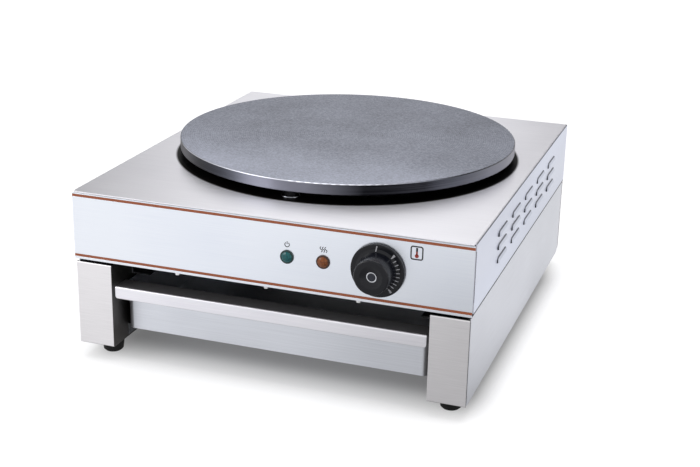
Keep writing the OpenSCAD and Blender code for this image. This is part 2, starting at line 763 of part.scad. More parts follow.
module element_terminals() {
    color(bright) standing() at_leads() {
        rod_z([0, 0, z_leads], element_d, z_element - element_bend - z_leads);
        rod_z([0, 0, z_leads - pin_l], 4, pin_l);
    }
}

module element_clamp() {
    arm_w = 30;
    color(zinc) standing() difference() {
        at_plate(z_clamp) slab(0, clamp_t) {
            circle(r = element_r + 12);
            for (a = [60, 180, 300]) rotate(a) sheet_2d(0, element_end - 6, -arm_w / 2, arm_w / 2,
                arm_w / 2 * [0, 1, 1, 0]);
        }
        at_plate(z_clamp - 1) cylinder(d = 9, h = clamp_t + 2);
        at_leads() rod_z([0, 0, z_clamp - 1], lead_hole_d + 5, clamp_t + 2);
        rod_z([capillary_x, plate_back + bulb_y, z_clamp - 1], capillary_d + 3, clamp_t + 2);
    }
}

module clamp_bolt() {
    color(zinc) standing() at_plate() {
        rod_z([0, 0, z_clamp - 1], 8, z_web + 3.5 - z_clamp + 1);
        hex_z([0, 0, z_clamp - 6], 13, 6);
    }
}

module fibre_pad() {
    color([0.88, 0.86, 0.80]) standing() difference() {
        at_plate(z_shield + contact) cylinder(r = shield_r - shield_sheet - shield_bend - fit, h = pad_t);
        at_leads() rod_z([0, 0, z_shield - 1], lead_hole_d, pad_t + 3);
        rod_z([capillary_x, plate_back + bulb_y, z_shield - 1], capillary_d + 3, pad_t + 3);
    }
}

// Spun pan that hangs in the housing's opening by its lip
module heat_shield() {
    color(zinc) standing() difference() {
        at_plate() rotate_extrude($fn = 96) difference() {
            union() {
                sheet_2d(0, shield_r, z_shield - shield_sheet, z_top, [0, shield_bend + shield_sheet, 0, 0]);
                translate([0, z_top]) square([shield_r + shield_lip, shield_sheet]);
            }
            sheet_2d(-1, shield_r - shield_sheet, z_shield, z_top + shield_sheet + 1, [0, shield_bend, 0, 0]);
        }
        at_leads() rod_z([0, 0, z_shield - 3], lead_hole_d, 5);
        rod_z([capillary_x, plate_back + bulb_y, z_shield - 3], capillary_d + 3, 5);
        at_shield_screws() rod_z([0, 0, -5], 4 + 2 * fit, 10);
    }
}

module shield_screws() {
    color(zinc) standing() at_shield_screws() translate([0, 0, shield_sheet]) mirror([0, 0, 1]) screw(4, 8);
}

module at_shield_screws() {
    r = shield_r + 8;
    for (a = stud_angles + 180 / stud_count * [for (a = stud_angles) 1])
        translate([r * cos(a), plate_back + r * sin(a), z_top]) children();
}

// ---------- controls ----------

// Local +Z points out of the fascia, towards the user
module out_front(p) translate(p) rotate([90, 0, 0]) children();

module round_hole(d, z1, z2) translate([0, 0, z1]) cylinder(d = d, h = z2 - z1);

// Capillary thermostat: mounting frame, ceramic block and terminal tabs
module thermostat_body() {
    w = thermostat[0];
    l = thermostat[1];
    h = thermostat[2];
    frame_t = 2;
    color([0.82, 0.80, 0.74]) standing() out_front([knob_x, y_panel_in + contact, z_control]) difference() {
        union() {
            slab(-frame_t, 0) sheet_2d(-w / 2, w / 2, -h / 2, h / 2, 2 * [1, 1, 1, 1]);
            slab(-l, -frame_t + eps) sheet_2d(-w / 2 + 3, w / 2 - 3, -h / 2 + 2, h / 2 - 2, 4 * [1, 1, 1, 1]);
            for (x = tab_xs, z = [-1, 1]) slab(-l - 8, -l + eps)
                sheet_2d(x - 2.4, x + 2.4, z * tab_z - 0.4, z * tab_z + 0.4);
        }
        round_hole(shaft_d + 2 * shaft_clear, -shaft_deep - 1, 1);
        for (s = [-1, 1]) translate([s * thermostat_screw_pitch / 2, 0, 0]) round_hole(4, -9, 1);
    }
}

module thermostat_bush() {
    color([0.78, 0.64, 0.35]) standing() out_front([knob_x, y_panel_in, z_control]) difference() {
        cylinder(d = bush_d, h = bush_l);
        round_hole(shaft_d + 2 * shaft_clear, -1, bush_l + 1);
    }
}

module thermostat_screws() {
    color(bright) standing() for (s = [-1, 1])
        translate([knob_x + s * thermostat_screw_pitch / 2, y_front, z_control]) rotate([-90, 0, 0]) screw(4, 9.5);
}

// Bulb against the plate and its capillary down and forward to the thermostat
module sensor_bulb() {
    z_bulb = z_web - bulb_d / 2 - contact;
    y_bulb = plate_back + bulb_y;
    y_thermostat = y_panel_in + contact + thermostat[1];
    color([0.75, 0.52, 0.36]) standing() {
        rod_x([spiral_x - bulb_l / 2, y_bulb, z_bulb], bulb_d, bulb_l);
        wire([[spiral_x + bulb_l / 2 - 1, y_bulb, z_bulb], [capillary_x, y_bulb, z_bulb], [capillary_x, y_bulb, level(5)],
            [knob_x, y_thermostat + 20, level(5)], [knob_x, y_thermostat + 20, z_control],
            [knob_x, y_thermostat, z_control]], capillary_d);
    }
}

// D-shaft that turns in the bush and carries the knob
module thermostat_shaft() {
    l = y_panel_in + shaft_deep - y_knob + hub_deep;
    color(zinc) standing() out_front([knob_x, y_panel_in + shaft_deep, z_control]) difference() {
        cylinder(d = shaft_d, h = l);
        translate([-shaft_d, shaft_flat, l - hub_deep]) cube([2 * shaft_d, shaft_d, hub_deep + 1]);
    }
}

// Button thermostat under the heat shield
module overheat_cutout() {
    z = z_shield - shield_sheet;
    color(black) standing() translate([cutout_x, plate_back, z]) {
        translate([0, 0, -cutout_h]) cylinder(d = 17, h = cutout_h - contact);
        translate([0, 0, -3]) cylinder(d = 24, h = 3 - contact);
        for (s = [-1, 1]) block([s * 5 - 0.4, s * 5 + 0.4], [-3, 3], [-cutout_h - cutout_tab_l,
            -cutout_h + eps]);
    }
}

module lamp_bezel(x) {
    tab = lamp_tab_l;
    color(black) standing() out_front([x, y_fascia, z_control]) difference() {
        union() {
            rotate_extrude() sheet_2d(0, lamp_d / 2, contact, lamp_lip, [0, 0, 0.8, 0]);
            translate([0, 0, -lamp_body_l]) cylinder(d = lamp_body_d, h = lamp_body_l + 1);
            for (s = [-1, 1]) block([s * 2.5 - 0.4, s * 2.5 + 0.4], [-2.4, 2.4], [-lamp_body_l - tab,
                -lamp_body_l + eps]);
        }
        round_hole(lens_d, 0.6, lamp_lip + 1);
        round_hole(lamp_body_d - 2.4, -lens_deep, 1);
    }
}

// Coloured lens: a low dome on a stem
module lamp_lens(x) {
    dome = 2.2;
    dome_r = (pow(lens_d / 2, 2) + pow(dome, 2)) / (2 * dome);
    standing() out_front([x, y_fascia, z_control]) rotate_extrude() {
        translate([0, -lens_deep]) square([lamp_body_d / 2 - 1.2, lens_deep + 1]);
        translate([0, 0.6]) square([lens_d / 2, lamp_lip - 0.6]);
        intersection() {
            translate([0, lamp_lip + dome - dome_r]) circle(dome_r);
            translate([0, lamp_lip - eps]) square([lens_d, dome + 1]);
        }
    }
}

module power_lamp_bezel() lamp_bezel(lamp_xs[0]);
module heat_lamp_bezel() lamp_bezel(lamp_xs[1]);
module power_lamp_lens() color([0.05, 0.42, 0.35]) lamp_lens(lamp_xs[0]);
module heat_lamp_lens() color([0.62, 0.35, 0.15]) lamp_lens(lamp_xs[1]);

module lamp_nuts() {
    nut_t = 4;
    color(black) standing() for (x = lamp_xs) out_front([x, y_panel_in + contact + nut_t, z_control]) difference() {
        cylinder(d = lamp_body_d + 5, h = nut_t, $fn = 6);
        round_hole(lamp_body_d, -1, nut_t + 1);
    }
}

// Knob with a dial skirt, a tapered grip, a dished face and a hollow back
module dial_knob() {
    l = knob_l - knob_gap;
    dish_r = (pow(dish_d / 2, 2) + pow(dish, 2)) / (2 * dish);
    root_r = grip_d / 2 + grip_taper;
    color([0.10, 0.10, 0.11]) standing() out_front([knob_x, y_knob, z_control]) difference() {
        rotate_extrude($fn = 96) difference() {
            union() {
                sheet_2d(0, knob_d / 2, 0, skirt_t, [0, 0.4, 1, 0]);
                polygon([[0, 0], [root_r + 3, skirt_t - eps], [root_r, skirt_t + 1], [grip_d / 2, l - 2.5],
                    [0, l - 2.5]]);
                sheet_2d(0, grip_d / 2, l - 3, l, [0, 0, 1.8, 0]);
            }
            translate([0, l + dish_r - dish]) circle(dish_r);
            translate([-1, l - dish - cap_t]) square([cap_d / 2 + 1, cap_t + 2]);
            translate([-1, -1]) square([knob_d / 2 - 3 + 1, 1 + skirt_hollow]);
            sheet_2d(hub_d / 2, grip_d / 2 - 2.5, -1, l - 6, [0, 0, 2, 0]);
            translate([-1, -1]) square([hub_d / 2 + 1, 1 + skirt_hollow]);
        }
        difference() {
            round_hole(shaft_d, -1, hub_deep);
            translate([-shaft_d, shaft_flat, -1]) cube([2 * shaft_d, shaft_d, hub_deep + 2]);
        }
    }
}

// Plain bright ring set in the knob's face
module knob_cap() {
    l = knob_l - knob_gap;
    color(bright) standing() out_front([knob_x, y_knob - l + dish + cap_t, z_control]) difference() {
        cylinder(d = cap_d, h = cap_t - 0.2);
        round_hole(cap_d - 2.4, cap_t - 0.7, cap_t + 1);
    }
}

// ---------- wiring ----------

module terminal_block() {
    w = terminal[0];
    l = terminal[1];
    h = terminal[2];
    color([0.90, 0.90, 0.86]) standing() translate(terminal_at) difference() {
        union() {
            slab(0, h * 0.55) sheet_2d(-w / 2, w / 2, -l / 2, l / 2, 2 * [1, 1, 1, 1]);
            for (i = [-2 : 2]) slab(0, h) sheet_2d(i * terminal_pitch - 4.4, i * terminal_pitch + 4.4, -l / 2 + 1,
                l / 2 - 1, [1, 1, 1, 1]);
        }
        for (i = [-2 : 2]) {
            rod_y([i * terminal_pitch, -l / 2 - 1, terminal_wire_z], terminal_wire_d + fit, l + 2);
            for (s = [-1, 1]) rod_z([i * terminal_pitch, s * l / 4, terminal_wire_z + 1.7], 5, h);
        }
    }
}

module terminal_screws() {
    h = terminal[2] - terminal_wire_z - terminal_wire_d;
    color([0.78, 0.64, 0.35]) standing() translate(terminal_at) for (i = [-2 : 2], s = [-1, 1])
        translate([i * terminal_pitch, s * terminal[1] / 4, terminal_wire_z + 1.7]) difference() {
            cylinder(d = 5, h = h);
            translate([-3, -0.4, h - 1]) cube([6, 0.8, 2]);
        }
}

// Earthing stud through the rear panel, with a nut on each side
module earth_stud() {
    color([0.78, 0.64, 0.35]) standing() translate([gland_x - earth_pitch, y_rear, z_control]) {
        rod_y([0, -18, 0], earth_d, 30);
        translate([0, -sheet - 4, 0]) rotate([-90, 0, 0]) cylinder(d = 9, h = 4, $fn = 6);
        translate([0, 0, 0]) rotate([-90, 0, 0]) cylinder(d = 12, h = 1);
        translate([0, 1, 0]) rotate([-90, 0, 0]) cylinder(d = 9, h = 4, $fn = 6);
    }
}

// Heat-proof leads, each on its own level: supply, lamps, heater and cutout
module wiring_loom() {
    y_block = terminal_at[1] - terminal[1] / 2;
    z_block = terminal_at[2] + terminal_wire_z;
    y_tabs = y_panel_in + thermostat[1] + 8 + 2 * contact;
    z_tabs = z_control - tab_z;
    y_lamps = y_fascia + lamp_body_l + lamp_tab_l + contact;
    z_cutout = z_shield - shield_sheet - cutout_h - cutout_tab_l - contact;
    z_pins = z_leads - pin_l - contact;
    inner = [spiral_x + element_ends[0], plate_back - element_bend];
    outer = [spiral_x + element_ends[1], plate_back + element_bend];
    earth_x = gland_x - earth_pitch;
    color([0.75, 0.20, 0.15]) standing() {
        // supply to the thermostat
        block_wire(-2, 14, [[knob_x + tab_xs[0], y_tabs + 30, level(0)], [knob_x + tab_xs[0], y_tabs + 30, z_tabs],
            [knob_x + tab_xs[0], y_tabs, z_tabs]], level(0));
        // first lamp, the jumper between the lamps, second lamp
        block_wire(-1, 19, [[lamp_xs[0] - 2.5, y_lamps + 24, level(1)], [lamp_xs[0] - 2.5, y_lamps + 6, z_control],
            [lamp_xs[0] - 2.5, y_lamps, z_control]], level(1));
        wire([[lamp_xs[0] + 2.5, y_lamps, z_control], [lamp_xs[0] + 2.5, y_lamps + 8, z_control],
            [lamp_xs[1] - 2.5, y_lamps + 8, z_control], [lamp_xs[1] - 2.5, y_lamps, z_control]], wire_d);
        block_wire(1, 24, [[lamp_xs[1] + 2.5, y_lamps + 24, level(2)], [lamp_xs[1] + 2.5, y_lamps + 6, z_control],
            [lamp_xs[1] + 2.5, y_lamps, z_control]], level(2));
        // heater's outer end
        block_wire(0, 29, [[outer[0], outer[1], level(3)], [outer[0], outer[1], z_pins]], level(3));
        // earth
        wire([[pole_x(2), y_block, z_block], [pole_x(2), y_block - 14, z_block], [pole_x(2), y_block - 14, z_control],
            [earth_x, y_rear - 30, z_control], [earth_x, y_rear - 18 - contact, z_control]], wire_d);
        // thermostat to cutout, cutout to the heater's inner end
        wire([[knob_x + tab_xs[1], y_tabs, z_tabs], [knob_x + tab_xs[1], y_tabs + 20, z_tabs],
            [knob_x + tab_xs[1], y_tabs + 20, level(4)], [cutout_x - 5, plate_back - 40, level(4)],
            [cutout_x - 5, plate_back, level(4)], [cutout_x - 5, plate_back, z_cutout]], wire_d);
        wire([[cutout_x + 5, plate_back, z_cutout], [cutout_x + 5, plate_back, level(4)],
            [inner[0], inner[1], level(4)], [inner[0], inner[1], z_pins]], wire_d);
    }
}

function level(i) = floor_top + 3 + i * (wire_d + 0.6);
function pole_x(i) = terminal_at[0] + i * terminal_pitch;

// A wire out of one pole of the block, down to its level and on to its points
module block_wire(pole, reach, points, z) {
    y = terminal_at[1] - terminal[1] / 2;
    z_pole = terminal_at[2] + terminal_wire_z;
    x = pole_x(pole);
    start = abs(z - z_pole) > wire_d ? [[x, y, z_pole], [x, y - reach, z_pole], [x, y - reach, z]]
        : [[x, y, z_pole], [x, y - reach, z]];
    wire(concat(start, points), wire_d);
}

// Gland: hexagon, dome nut and inner thread in one, bored for the cable
module cable_gland() {
    hex_t = 5;
    color([0.20, 0.20, 0.21]) standing() translate([gland_x, y_rear, z_control]) rotate([-90, 0, 0]) difference() {
        union() {
            cylinder(d = gland_af / cos(30), h = hex_t, $fn = 6);
            rotate_extrude() sheet_2d(0, gland_af / 2 - 1, 0, gland_l, [0, 0, 6, 0]);
            translate([0, 0, -gland_thread_l]) cylinder(d = gland_thread_d, h = gland_thread_l + 1);
        }
        round_hole(gland_bore, -gland_thread_l - 1, gland_l + 1);
    }
}

module gland_nut() {
    nut_t = 5;
    color([0.20, 0.20, 0.21]) standing() translate([gland_x, y_rear - sheet - contact, z_control])
        rotate([90, 0, 0]) difference() {
            cylinder(d = gland_af / cos(30), h = nut_t, $fn = 6);
            round_hole(gland_thread_d, -1, nut_t + 1);
        }
}

// ---------- drawer ----------

// Folded tray with rounded upright corners
module drawer_tray() {
    t = drawer_sheet;
    r = drawer_corner_r;
    color(steel) standing() difference() {
        slab(z_tray, z_tray_rim) sheet_2d(-drawer_w / 2, drawer_w / 2, y_tray, y_tray_rear, r * [1, 1, 1, 1]);
        slab(z_tray + t, z_tray_rim + 1) sheet_2d(-drawer_w / 2 + t, drawer_w / 2 - t, y_tray + t,
            y_tray_rear - t, (r - t) * [1, 1, 1, 1]);
        at_drawer_rivets() rod_y([0, -1, 0], rivet_d, t + 2);
    }
}

// Handle: a lip folded forward over the tray's front, a bar with rounded corners and a hem
module drawer_handle() {
    t = drawer_sheet;
    w = handle_w / 2;
    z_low = z_handle - handle_h;
    y_leaf = y_tray + t + contact;
    hem = 6;
    color(bright) standing() difference() {
        union() {
            intersection() {
                bar_x(-w, w) difference() {
                    sheet_2d(y_bar, y_leaf + t, z_low, z_handle, [1.5, 0, 0.6, 2]);
                    sheet_2d(y_bar + t, y_leaf + t + 1, z_low + t, z_handle - t, [0.3, 0, 0, 0.8]);
                    translate([y_bar + hem, z_low - 1]) square([handle_reach + 3 * t, t + 2]);
                }
                bar_y(y_bar - 1, y_leaf + t + 1) sheet_2d(-w, w, z_low, z_handle, [handle_corner_r,
                    handle_corner_r, 0.6, 0.6]);
            }
            bar_x(-w + 24, w - 24) translate([y_leaf, z_handle - 12]) square([t, 12 - t / 2]);
        }
        at_drawer_rivets() rod_y([0, t, 0], rivet_d, t + 2);
    }
}

module at_drawer_rivets() {
    for (i = [-2 : 2]) translate([i * drawer_w / 5, y_tray, z_handle - 7.5]) children();
}

module drawer_rivets() {
    t = drawer_sheet;
    color(bright) standing() at_drawer_rivets() {
        rod_y([0, 0, 0], rivet_d, 2 * t + contact);
        rotate([90, 0, 0]) cylinder(d1 = rivet_d * 1.8, d2 = rivet_d, h = 0.9);
        translate([0, 2 * t + contact, 0]) rotate([-90, 0, 0]) cylinder(d1 = rivet_d * 1.8, d2 = rivet_d, h = 0.9);
    }
}

top_cover();
front_panel();
fascia();
fascia_stripes();
rear_panel();
floor_panel();
panel_screws();
leg_frame_right();
leg_frame_left();
side_panel_right();
side_panel_left();
base_back_panel();
runner_right();
runner_left();
guide_right();
guide_left();
guide_rivets();
base_spacers();
base_bolts();
base_nuts();
rubber_feet();
foot_screws();
cooking_plate();
plate_studs();
seat_washers();
plate_locknuts();
plate_underside_nuts();
heating_element();
element_terminals();
element_clamp();
clamp_bolt();
fibre_pad();
heat_shield();
shield_screws();
thermostat_body();
thermostat_bush();
thermostat_screws();
sensor_bulb();
thermostat_shaft();
overheat_cutout();
power_lamp_bezel();
power_lamp_lens();
heat_lamp_bezel();
heat_lamp_lens();
lamp_nuts();
terminal_block();
terminal_screws();
earth_stud();
wiring_loom();
cable_gland();
gland_nut();
dial_knob();
knob_cap();
drawer_tray();
drawer_handle();
drawer_rivets();
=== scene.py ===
# %% [markdown]
# # Electric crepe maker
# A cast-iron plate sits on a folded steel housing, and the housing stands on two leg boxes
# with a drawer between them. The solids come ready-made from the CAD model as a fixed frame.
# This lesson gives them their finishes, adds the printed marks, and sets light and camera.

# %% Load the frame
import math

import bmesh
import bpy
from mathutils import Matrix, Vector


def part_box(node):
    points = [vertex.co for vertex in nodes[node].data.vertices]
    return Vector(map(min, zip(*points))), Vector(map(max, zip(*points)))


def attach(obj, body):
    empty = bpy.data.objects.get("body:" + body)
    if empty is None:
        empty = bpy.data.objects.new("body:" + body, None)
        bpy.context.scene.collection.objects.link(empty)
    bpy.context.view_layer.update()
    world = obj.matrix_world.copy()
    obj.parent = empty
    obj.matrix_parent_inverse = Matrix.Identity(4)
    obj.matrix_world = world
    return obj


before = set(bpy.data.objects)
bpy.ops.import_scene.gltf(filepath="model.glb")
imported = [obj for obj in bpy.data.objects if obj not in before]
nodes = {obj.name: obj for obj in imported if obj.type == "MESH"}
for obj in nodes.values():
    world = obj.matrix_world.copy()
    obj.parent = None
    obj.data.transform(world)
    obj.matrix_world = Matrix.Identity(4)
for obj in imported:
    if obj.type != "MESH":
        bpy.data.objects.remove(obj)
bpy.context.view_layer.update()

scene = bpy.context.scene
scene.view_settings.view_transform = "Standard"

# %% [markdown]
# ## Measures
# Sizes stay in millimetres in the text, as on a drawing, and `MM` turns them to metres.
# The knob's axis, the plate's centre and a few faces are read from the solids, so that the
# marks and the patterns sit right on them.

# %% Measures
MM = 0.001


def centre_of(node):
    low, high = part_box(node)
    return (Vector(low) + Vector(high)) / 2


def top_of(node):
    return Vector(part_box(node)[1]).z


knob_axis = centre_of("dial_knob")
plate_axis = centre_of("cooking_plate")
plate_top = top_of("cooking_plate")
fascia_face = Vector(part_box("fascia")[0]).y
housing_foot = Vector(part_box("top_cover")[0]).z
cover_top = top_of("top_cover")
print("knob axis at", tuple(knob_axis), "fascia face at y", fascia_face)

# %% [markdown]
# ## A node at a time
# Blender's materials are small graphs. One helper adds a node with its settings and its links,
# and another turns a hex colour, as a paint chart gives it, into the linear numbers that the
# shader works in.

# %% Node helper and colours


def linear(code):
    """Linear RGBA from an sRGB hex colour such as C8CAD0."""
    parts = [int(code[i:i + 2], 16) / 255 for i in (0, 2, 4)]
    return [p / 12.92 if p <= 0.04045 else ((p + 0.055) / 1.055) ** 2.4 for p in parts] + [1.0]


def add(material, kind, inputs=None, stops=(), **settings):
    """A node of that kind. An input that is a socket becomes a link, and anything else a value.
    The stops of a colour ramp are pairs of a rising position and a hex colour."""
    tree = material.node_tree
    made = tree.nodes.new(kind)
    for name, value in settings.items():
        setattr(made, name, value)
    for key, value in (inputs or {}).items():
        if isinstance(value, bpy.types.NodeSocket):
            tree.links.new(value, made.inputs[key])
        else:
            made.inputs[key].default_value = value
    if stops:
        elements = made.color_ramp.elements
        while len(elements) < len(stops):
            elements.new(0.5)
        # The places come first, because a stop that moves may change its turn in the list.
        for element, (position, code) in zip(elements, stops):
            element.position = position
        for element, (position, code) in zip(elements, stops):
            element.color = linear(code)
    return made


print("C8CAD0 in linear numbers:", [round(part, 3) for part in linear("C8CAD0")])

# %% [markdown]
# ## From an empty material to the slots
# Every material here starts empty, reads the place on the piece in metres and ends in a shader.
# The CAD nodes come with their slots, so a finish is given by filling these.

# %% Blank materials and slots


def blank(name):
    """An empty material with its output, ready for a graph."""
    material = bpy.data.materials.new(name)
    material.use_nodes = True
    material.node_tree.nodes.clear()
    return material, material.node_tree.nodes.new("ShaderNodeOutputMaterial")


def place_of(material, scale=(1, 1, 1), shift=(0, 0, 0)):
    """The point on the piece in metres, stretched and shifted."""
    here = add(material, "ShaderNodeTexCoord").outputs["Object"]
    return add(material, "ShaderNodeMapping", {"Vector": here, "Scale": scale,
                                               "Location": shift}).outputs[0]


def finish_with(material, output, shader):
    material.node_tree.links.new(shader.outputs[0], output.inputs["Surface"])
    return material


def dress(material, *names):
    """Gives the material to the slots of CAD nodes."""
    for name in names:
        for held in nodes[name].material_slots:
            held.material = material
    print(material.name, "on", len(names), "nodes")


# %% [markdown]
# ## Masks
# A sheet isn't the same all over. A mask is a small graph that gives 1 where a patch lies and 0
# elsewhere. It tells by the place on the piece or by the way that the surface looks, both
# without their sign, so that one mask serves the right and the left side.

# %% Mask helpers


def between(material, value, low, high, smooth=False):
    """0 below the low value, 1 above the high one. With low above high it runs downwards."""
    return add(material, "ShaderNodeMapRange",
               {"Value": value, "From Min": min(low, high), "From Max": max(low, high),
                "To Min": float(low > high), "To Max": float(low < high)},
               interpolation_type="SMOOTHSTEP" if smooth else "LINEAR").outputs[0]


def size_of(material, reading, axis):
    """How large one part of a reading is, either the Object place or the Normal."""
    vector = add(material, "ShaderNodeTexCoord").outputs[reading]
    parts = add(material, "ShaderNodeSeparateXYZ", {0: vector})
    size = add(material, "ShaderNodeMath", {0: parts.outputs[axis]}, operation="ABSOLUTE")
    return size.outputs[0]


def times(material, *factors):
    """The product of these. Of masks it is the mask of the places where all of them hold."""
    product = factors[-1]
    for factor in reversed(factors[:-1]):
        product = add(material, "ShaderNodeMath", {0: factor, 1: product},
                      operation="MULTIPLY").outputs[0]
    return product


def faces_along(axis):
    """The patch of all faces that look along that axis, one way or the other."""
    return lambda material: between(material, size_of(material, "Normal", axis), 0.5, 0.8)


# %% [markdown]
# ## Painted shade on the cover
# The louvres are cut and pressed out of the cover's side walls. Painted shade darkens the crease
# round their foot and their steep ends, and their slopes are rougher and painted a little darker.
# The folds along the top and foot are painted as thin dark lines of shade, and the sheet under the
# plate is painted nearly black as its shadow. The walls' faces lie 225 mm from the middle.

# %% Patches of the cover
WALL_FACE = 225 * MM
# Radii of the plate's painted shadow on the cover.
DARK_INSIDE, CLEAR_OUTSIDE = 202.8 * MM, 206.2 * MM


def on_side(material):
    """The outside of the cover's side walls, away from the folds."""
    height = size_of(material, "Object", "Z")
    outside = between(material, size_of(material, "Object", "X"), WALL_FACE - 0.5 * MM, WALL_FACE)
    over_fold = between(material, height, housing_foot + 15 * MM, housing_foot + 16 * MM)
    under_top = between(material, height, housing_foot + 70 * MM, housing_foot + 69 * MM)
    return times(material, outside, over_fold, under_top)


def louvre_hood_shade(material):
    """The sloping faces of the louvres, which are rougher and painted a little darker as shade."""
    leans = between(material, size_of(material, "Normal", "X"), 0.975, 0.93)
    return times(material, leans, on_side(material))


def louvre_foot_shade(material):
    """The crease at the foot of the louvres, where the wall turns into the hood, painted dark as
    shade.
    """
    turns = between(material, size_of(material, "Normal", "X"), 0.81, 0.75)
    return times(material, turns, on_side(material))


def louvre_end_shade(material):
    """The steep front and rear ends of the louvres, painted dark as shade."""
    steep = between(material, size_of(material, "Normal", "X"), 0.84, 0.76)
    endways = between(material, size_of(material, "Normal", "Y"), 0.40, 0.60)
    return times(material, times(material, steep, endways), on_side(material))


def top_fold_shade(material):
    """The middle of the folds along the cover's top, right and left, painted as a thin dark line of
    shade.
    """
    leans = size_of(material, "Normal", "X")
    high = between(material, size_of(material, "Object", "Z"), cover_top - 2.3 * MM,
                   cover_top - 2.0 * MM)
    return times(material, high, between(material, leans, 0.38, 0.50),
                 between(material, leans, 0.95, 0.86))


def lower_fold_shade(material):
    """The fold along the foot of the cover, painted as a dark line of shade."""
    return between(material, size_of(material, "Object", "Z"), housing_foot + 3.4 * MM,
                   housing_foot + 2.6 * MM)


def plate_shadow(material):
    """The sheet that the plate covers, and a few millimetres round it, most in front, where the
    plate's shadow is painted.
    """
    flat = place_of(material, scale=(1, 1, 0),
                    shift=(-plate_axis.x - 1.2 * MM, -plate_axis.y + 3.5 * MM, 0))
    reach = add(material, "ShaderNodeVectorMath", {0: flat}, operation="LENGTH").outputs["Value"]
    return between(material, reach, CLEAR_OUTSIDE, DARK_INSIDE, smooth=True)


print("cover from z", round(housing_foot, 4), "to", round(cover_top, 4), "m")

# %% [markdown]
# ## Brushed stainless steel
# The sheets are ferritic stainless steel with a belt-ground finish: fine parallel lines about
# 0.1 mm apart. They are drawn 1 mm apart here, because finer ones would not show. The lines
# run along the sheet, so the noise is stretched that way. They shift the colour by a few per
# cent, the roughness by a little more, and tilt the surface slightly. A rounding shader on the
# edges stands for the small radius that every sheared edge has. The patches follow one after
# another, so a later one lies over the earlier ones.

# %% Brushed steel
PATCH_ROUGH = 0.5


def brushed_steel(name, grain, light, dark, rough, lines=1.0, length=90, relief=0.05, cloud=0.5,
                  patches=(), uneven=0.0):
    """Steel with grinding lines along one axis of the object. Line spacing and length in mm.
    A patch is a mask, its colour and, if not PATCH_ROUGH, its roughness. Uneven is how much
    wider the steel reflects across the lines."""
    material, output = blank(name)
    scale = [1000 / (length if axis == grain else lines) for axis in "XYZ"]
    fine = add(material, "ShaderNodeTexNoise", {"Vector": place_of(material, scale), "Scale": 1.0,
                                               "Detail": 3.0, "Roughness": 0.65}).outputs["Fac"]
    broad = add(material, "ShaderNodeTexNoise", {"Vector": place_of(material), "Scale": 7.0,
                                                "Detail": 2.0}).outputs["Fac"]
    blend = add(material, "ShaderNodeMix", {"Factor": cloud, "A": fine, "B": broad},
                data_type="FLOAT")
    colour = add(material, "ShaderNodeValToRGB", {"Fac": blend.outputs[0]},
                 stops=((0.36, dark), (0.64, light))).outputs[0]
    roughness = add(material, "ShaderNodeMapRange",
                    {"Value": fine, "From Min": 0.3, "From Max": 0.7,
                     "To Min": rough - 0.02, "To Max": rough + 0.03}).outputs[0]
    for mask, code, *own in patches:
        factor = mask(material)
        colour = add(material, "ShaderNodeMix", {0: factor, 6: colour, 7: linear(code)},
                     data_type="RGBA").outputs[2]
        roughness = add(material, "ShaderNodeMapRange",
                        {"Value": factor, "To Min": roughness,
                         "To Max": own[0] if own else PATCH_ROUGH}).outputs[0]
    edge = add(material, "ShaderNodeBevel", {"Radius": 0.5 * MM}, samples=4)
    tilt = add(material, "ShaderNodeBump", {"Height": fine, "Strength": relief,
                                            "Distance": 0.2 * MM, "Normal": edge.outputs[0]})
    shader = add(material, "ShaderNodeBsdfPrincipled",
                 {"Base Color": colour, "Roughness": roughness, "Metallic": 1.0,
                  "Anisotropic": uneven, "Normal": tilt.outputs[0]})
    if uneven:
        along = add(material, "ShaderNodeTangent", direction_type="RADIAL", axis=grain)
        material.node_tree.links.new(along.outputs[0], shader.inputs["Tangent"])
    return finish_with(material, output, shader)


front_steel = brushed_steel("ground_stainless_front", "X", "D8D8DC", "C4C4C8", 0.32)
dress(front_steel, "front_panel", "rear_panel", "base_back_panel")

# %% [markdown]
# ## The other sheets
# The cover is ground finest; its side walls are painted a cooler, darker tone than its top as
# shade, and it has the painted shade from above. The side panels are ground from front to rear.
# The legs and the drawer's bar are ground on the faces that show, and the others keep the mill's
# rougher finish and are painted darker as shade. The fascia is a thin satin facing, cooler in tone
# than the steel.

# %% Steel sheets
# The cover's side walls are painted a cooler, darker tone than its top as shade, and the masks
# above add the painted shade of the louvres, the folds and the plate.
cover_painted_shade = ((faces_along("X"), "DFE3F0", 0.36), (louvre_hood_shade, "D0D4E0", 0.42),
               (louvre_foot_shade, "6A6C74"), (louvre_end_shade, "2A2C32"), (lower_fold_shade, "26272B"),
               (top_fold_shade, "74767E"), (plate_shadow, "0C0A0A"))
# On the legs, the rougher faces turned sideways are painted dark grey, and those turned up or down
# nearly black, as shade.
leg_shade_faces = ((faces_along("X"), "686664"), (faces_along("Z"), "1E1E20"))
cover_steel = brushed_steel("ground_stainless_cover", "X", "F8F7FC", "F0EFF5", 0.36, length=60,
                            relief=0.012, patches=cover_painted_shade, uneven=0.6)
side_steel = brushed_steel("ground_stainless_sides", "Y", "E3E5EC", "D7D9E0", 0.34, relief=0.03)
leg_steel = brushed_steel("ground_stainless_legs", "X", "EFEDEF", "E0DEE0", 0.36, lines=0.8,
                          length=40, relief=0.03, cloud=0.6, patches=leg_shade_faces)
tray_steel = brushed_steel("ground_stainless_tray", "X", "E6E9F0", "D8DBE2", 0.36, lines=0.8,
                           relief=0.03)
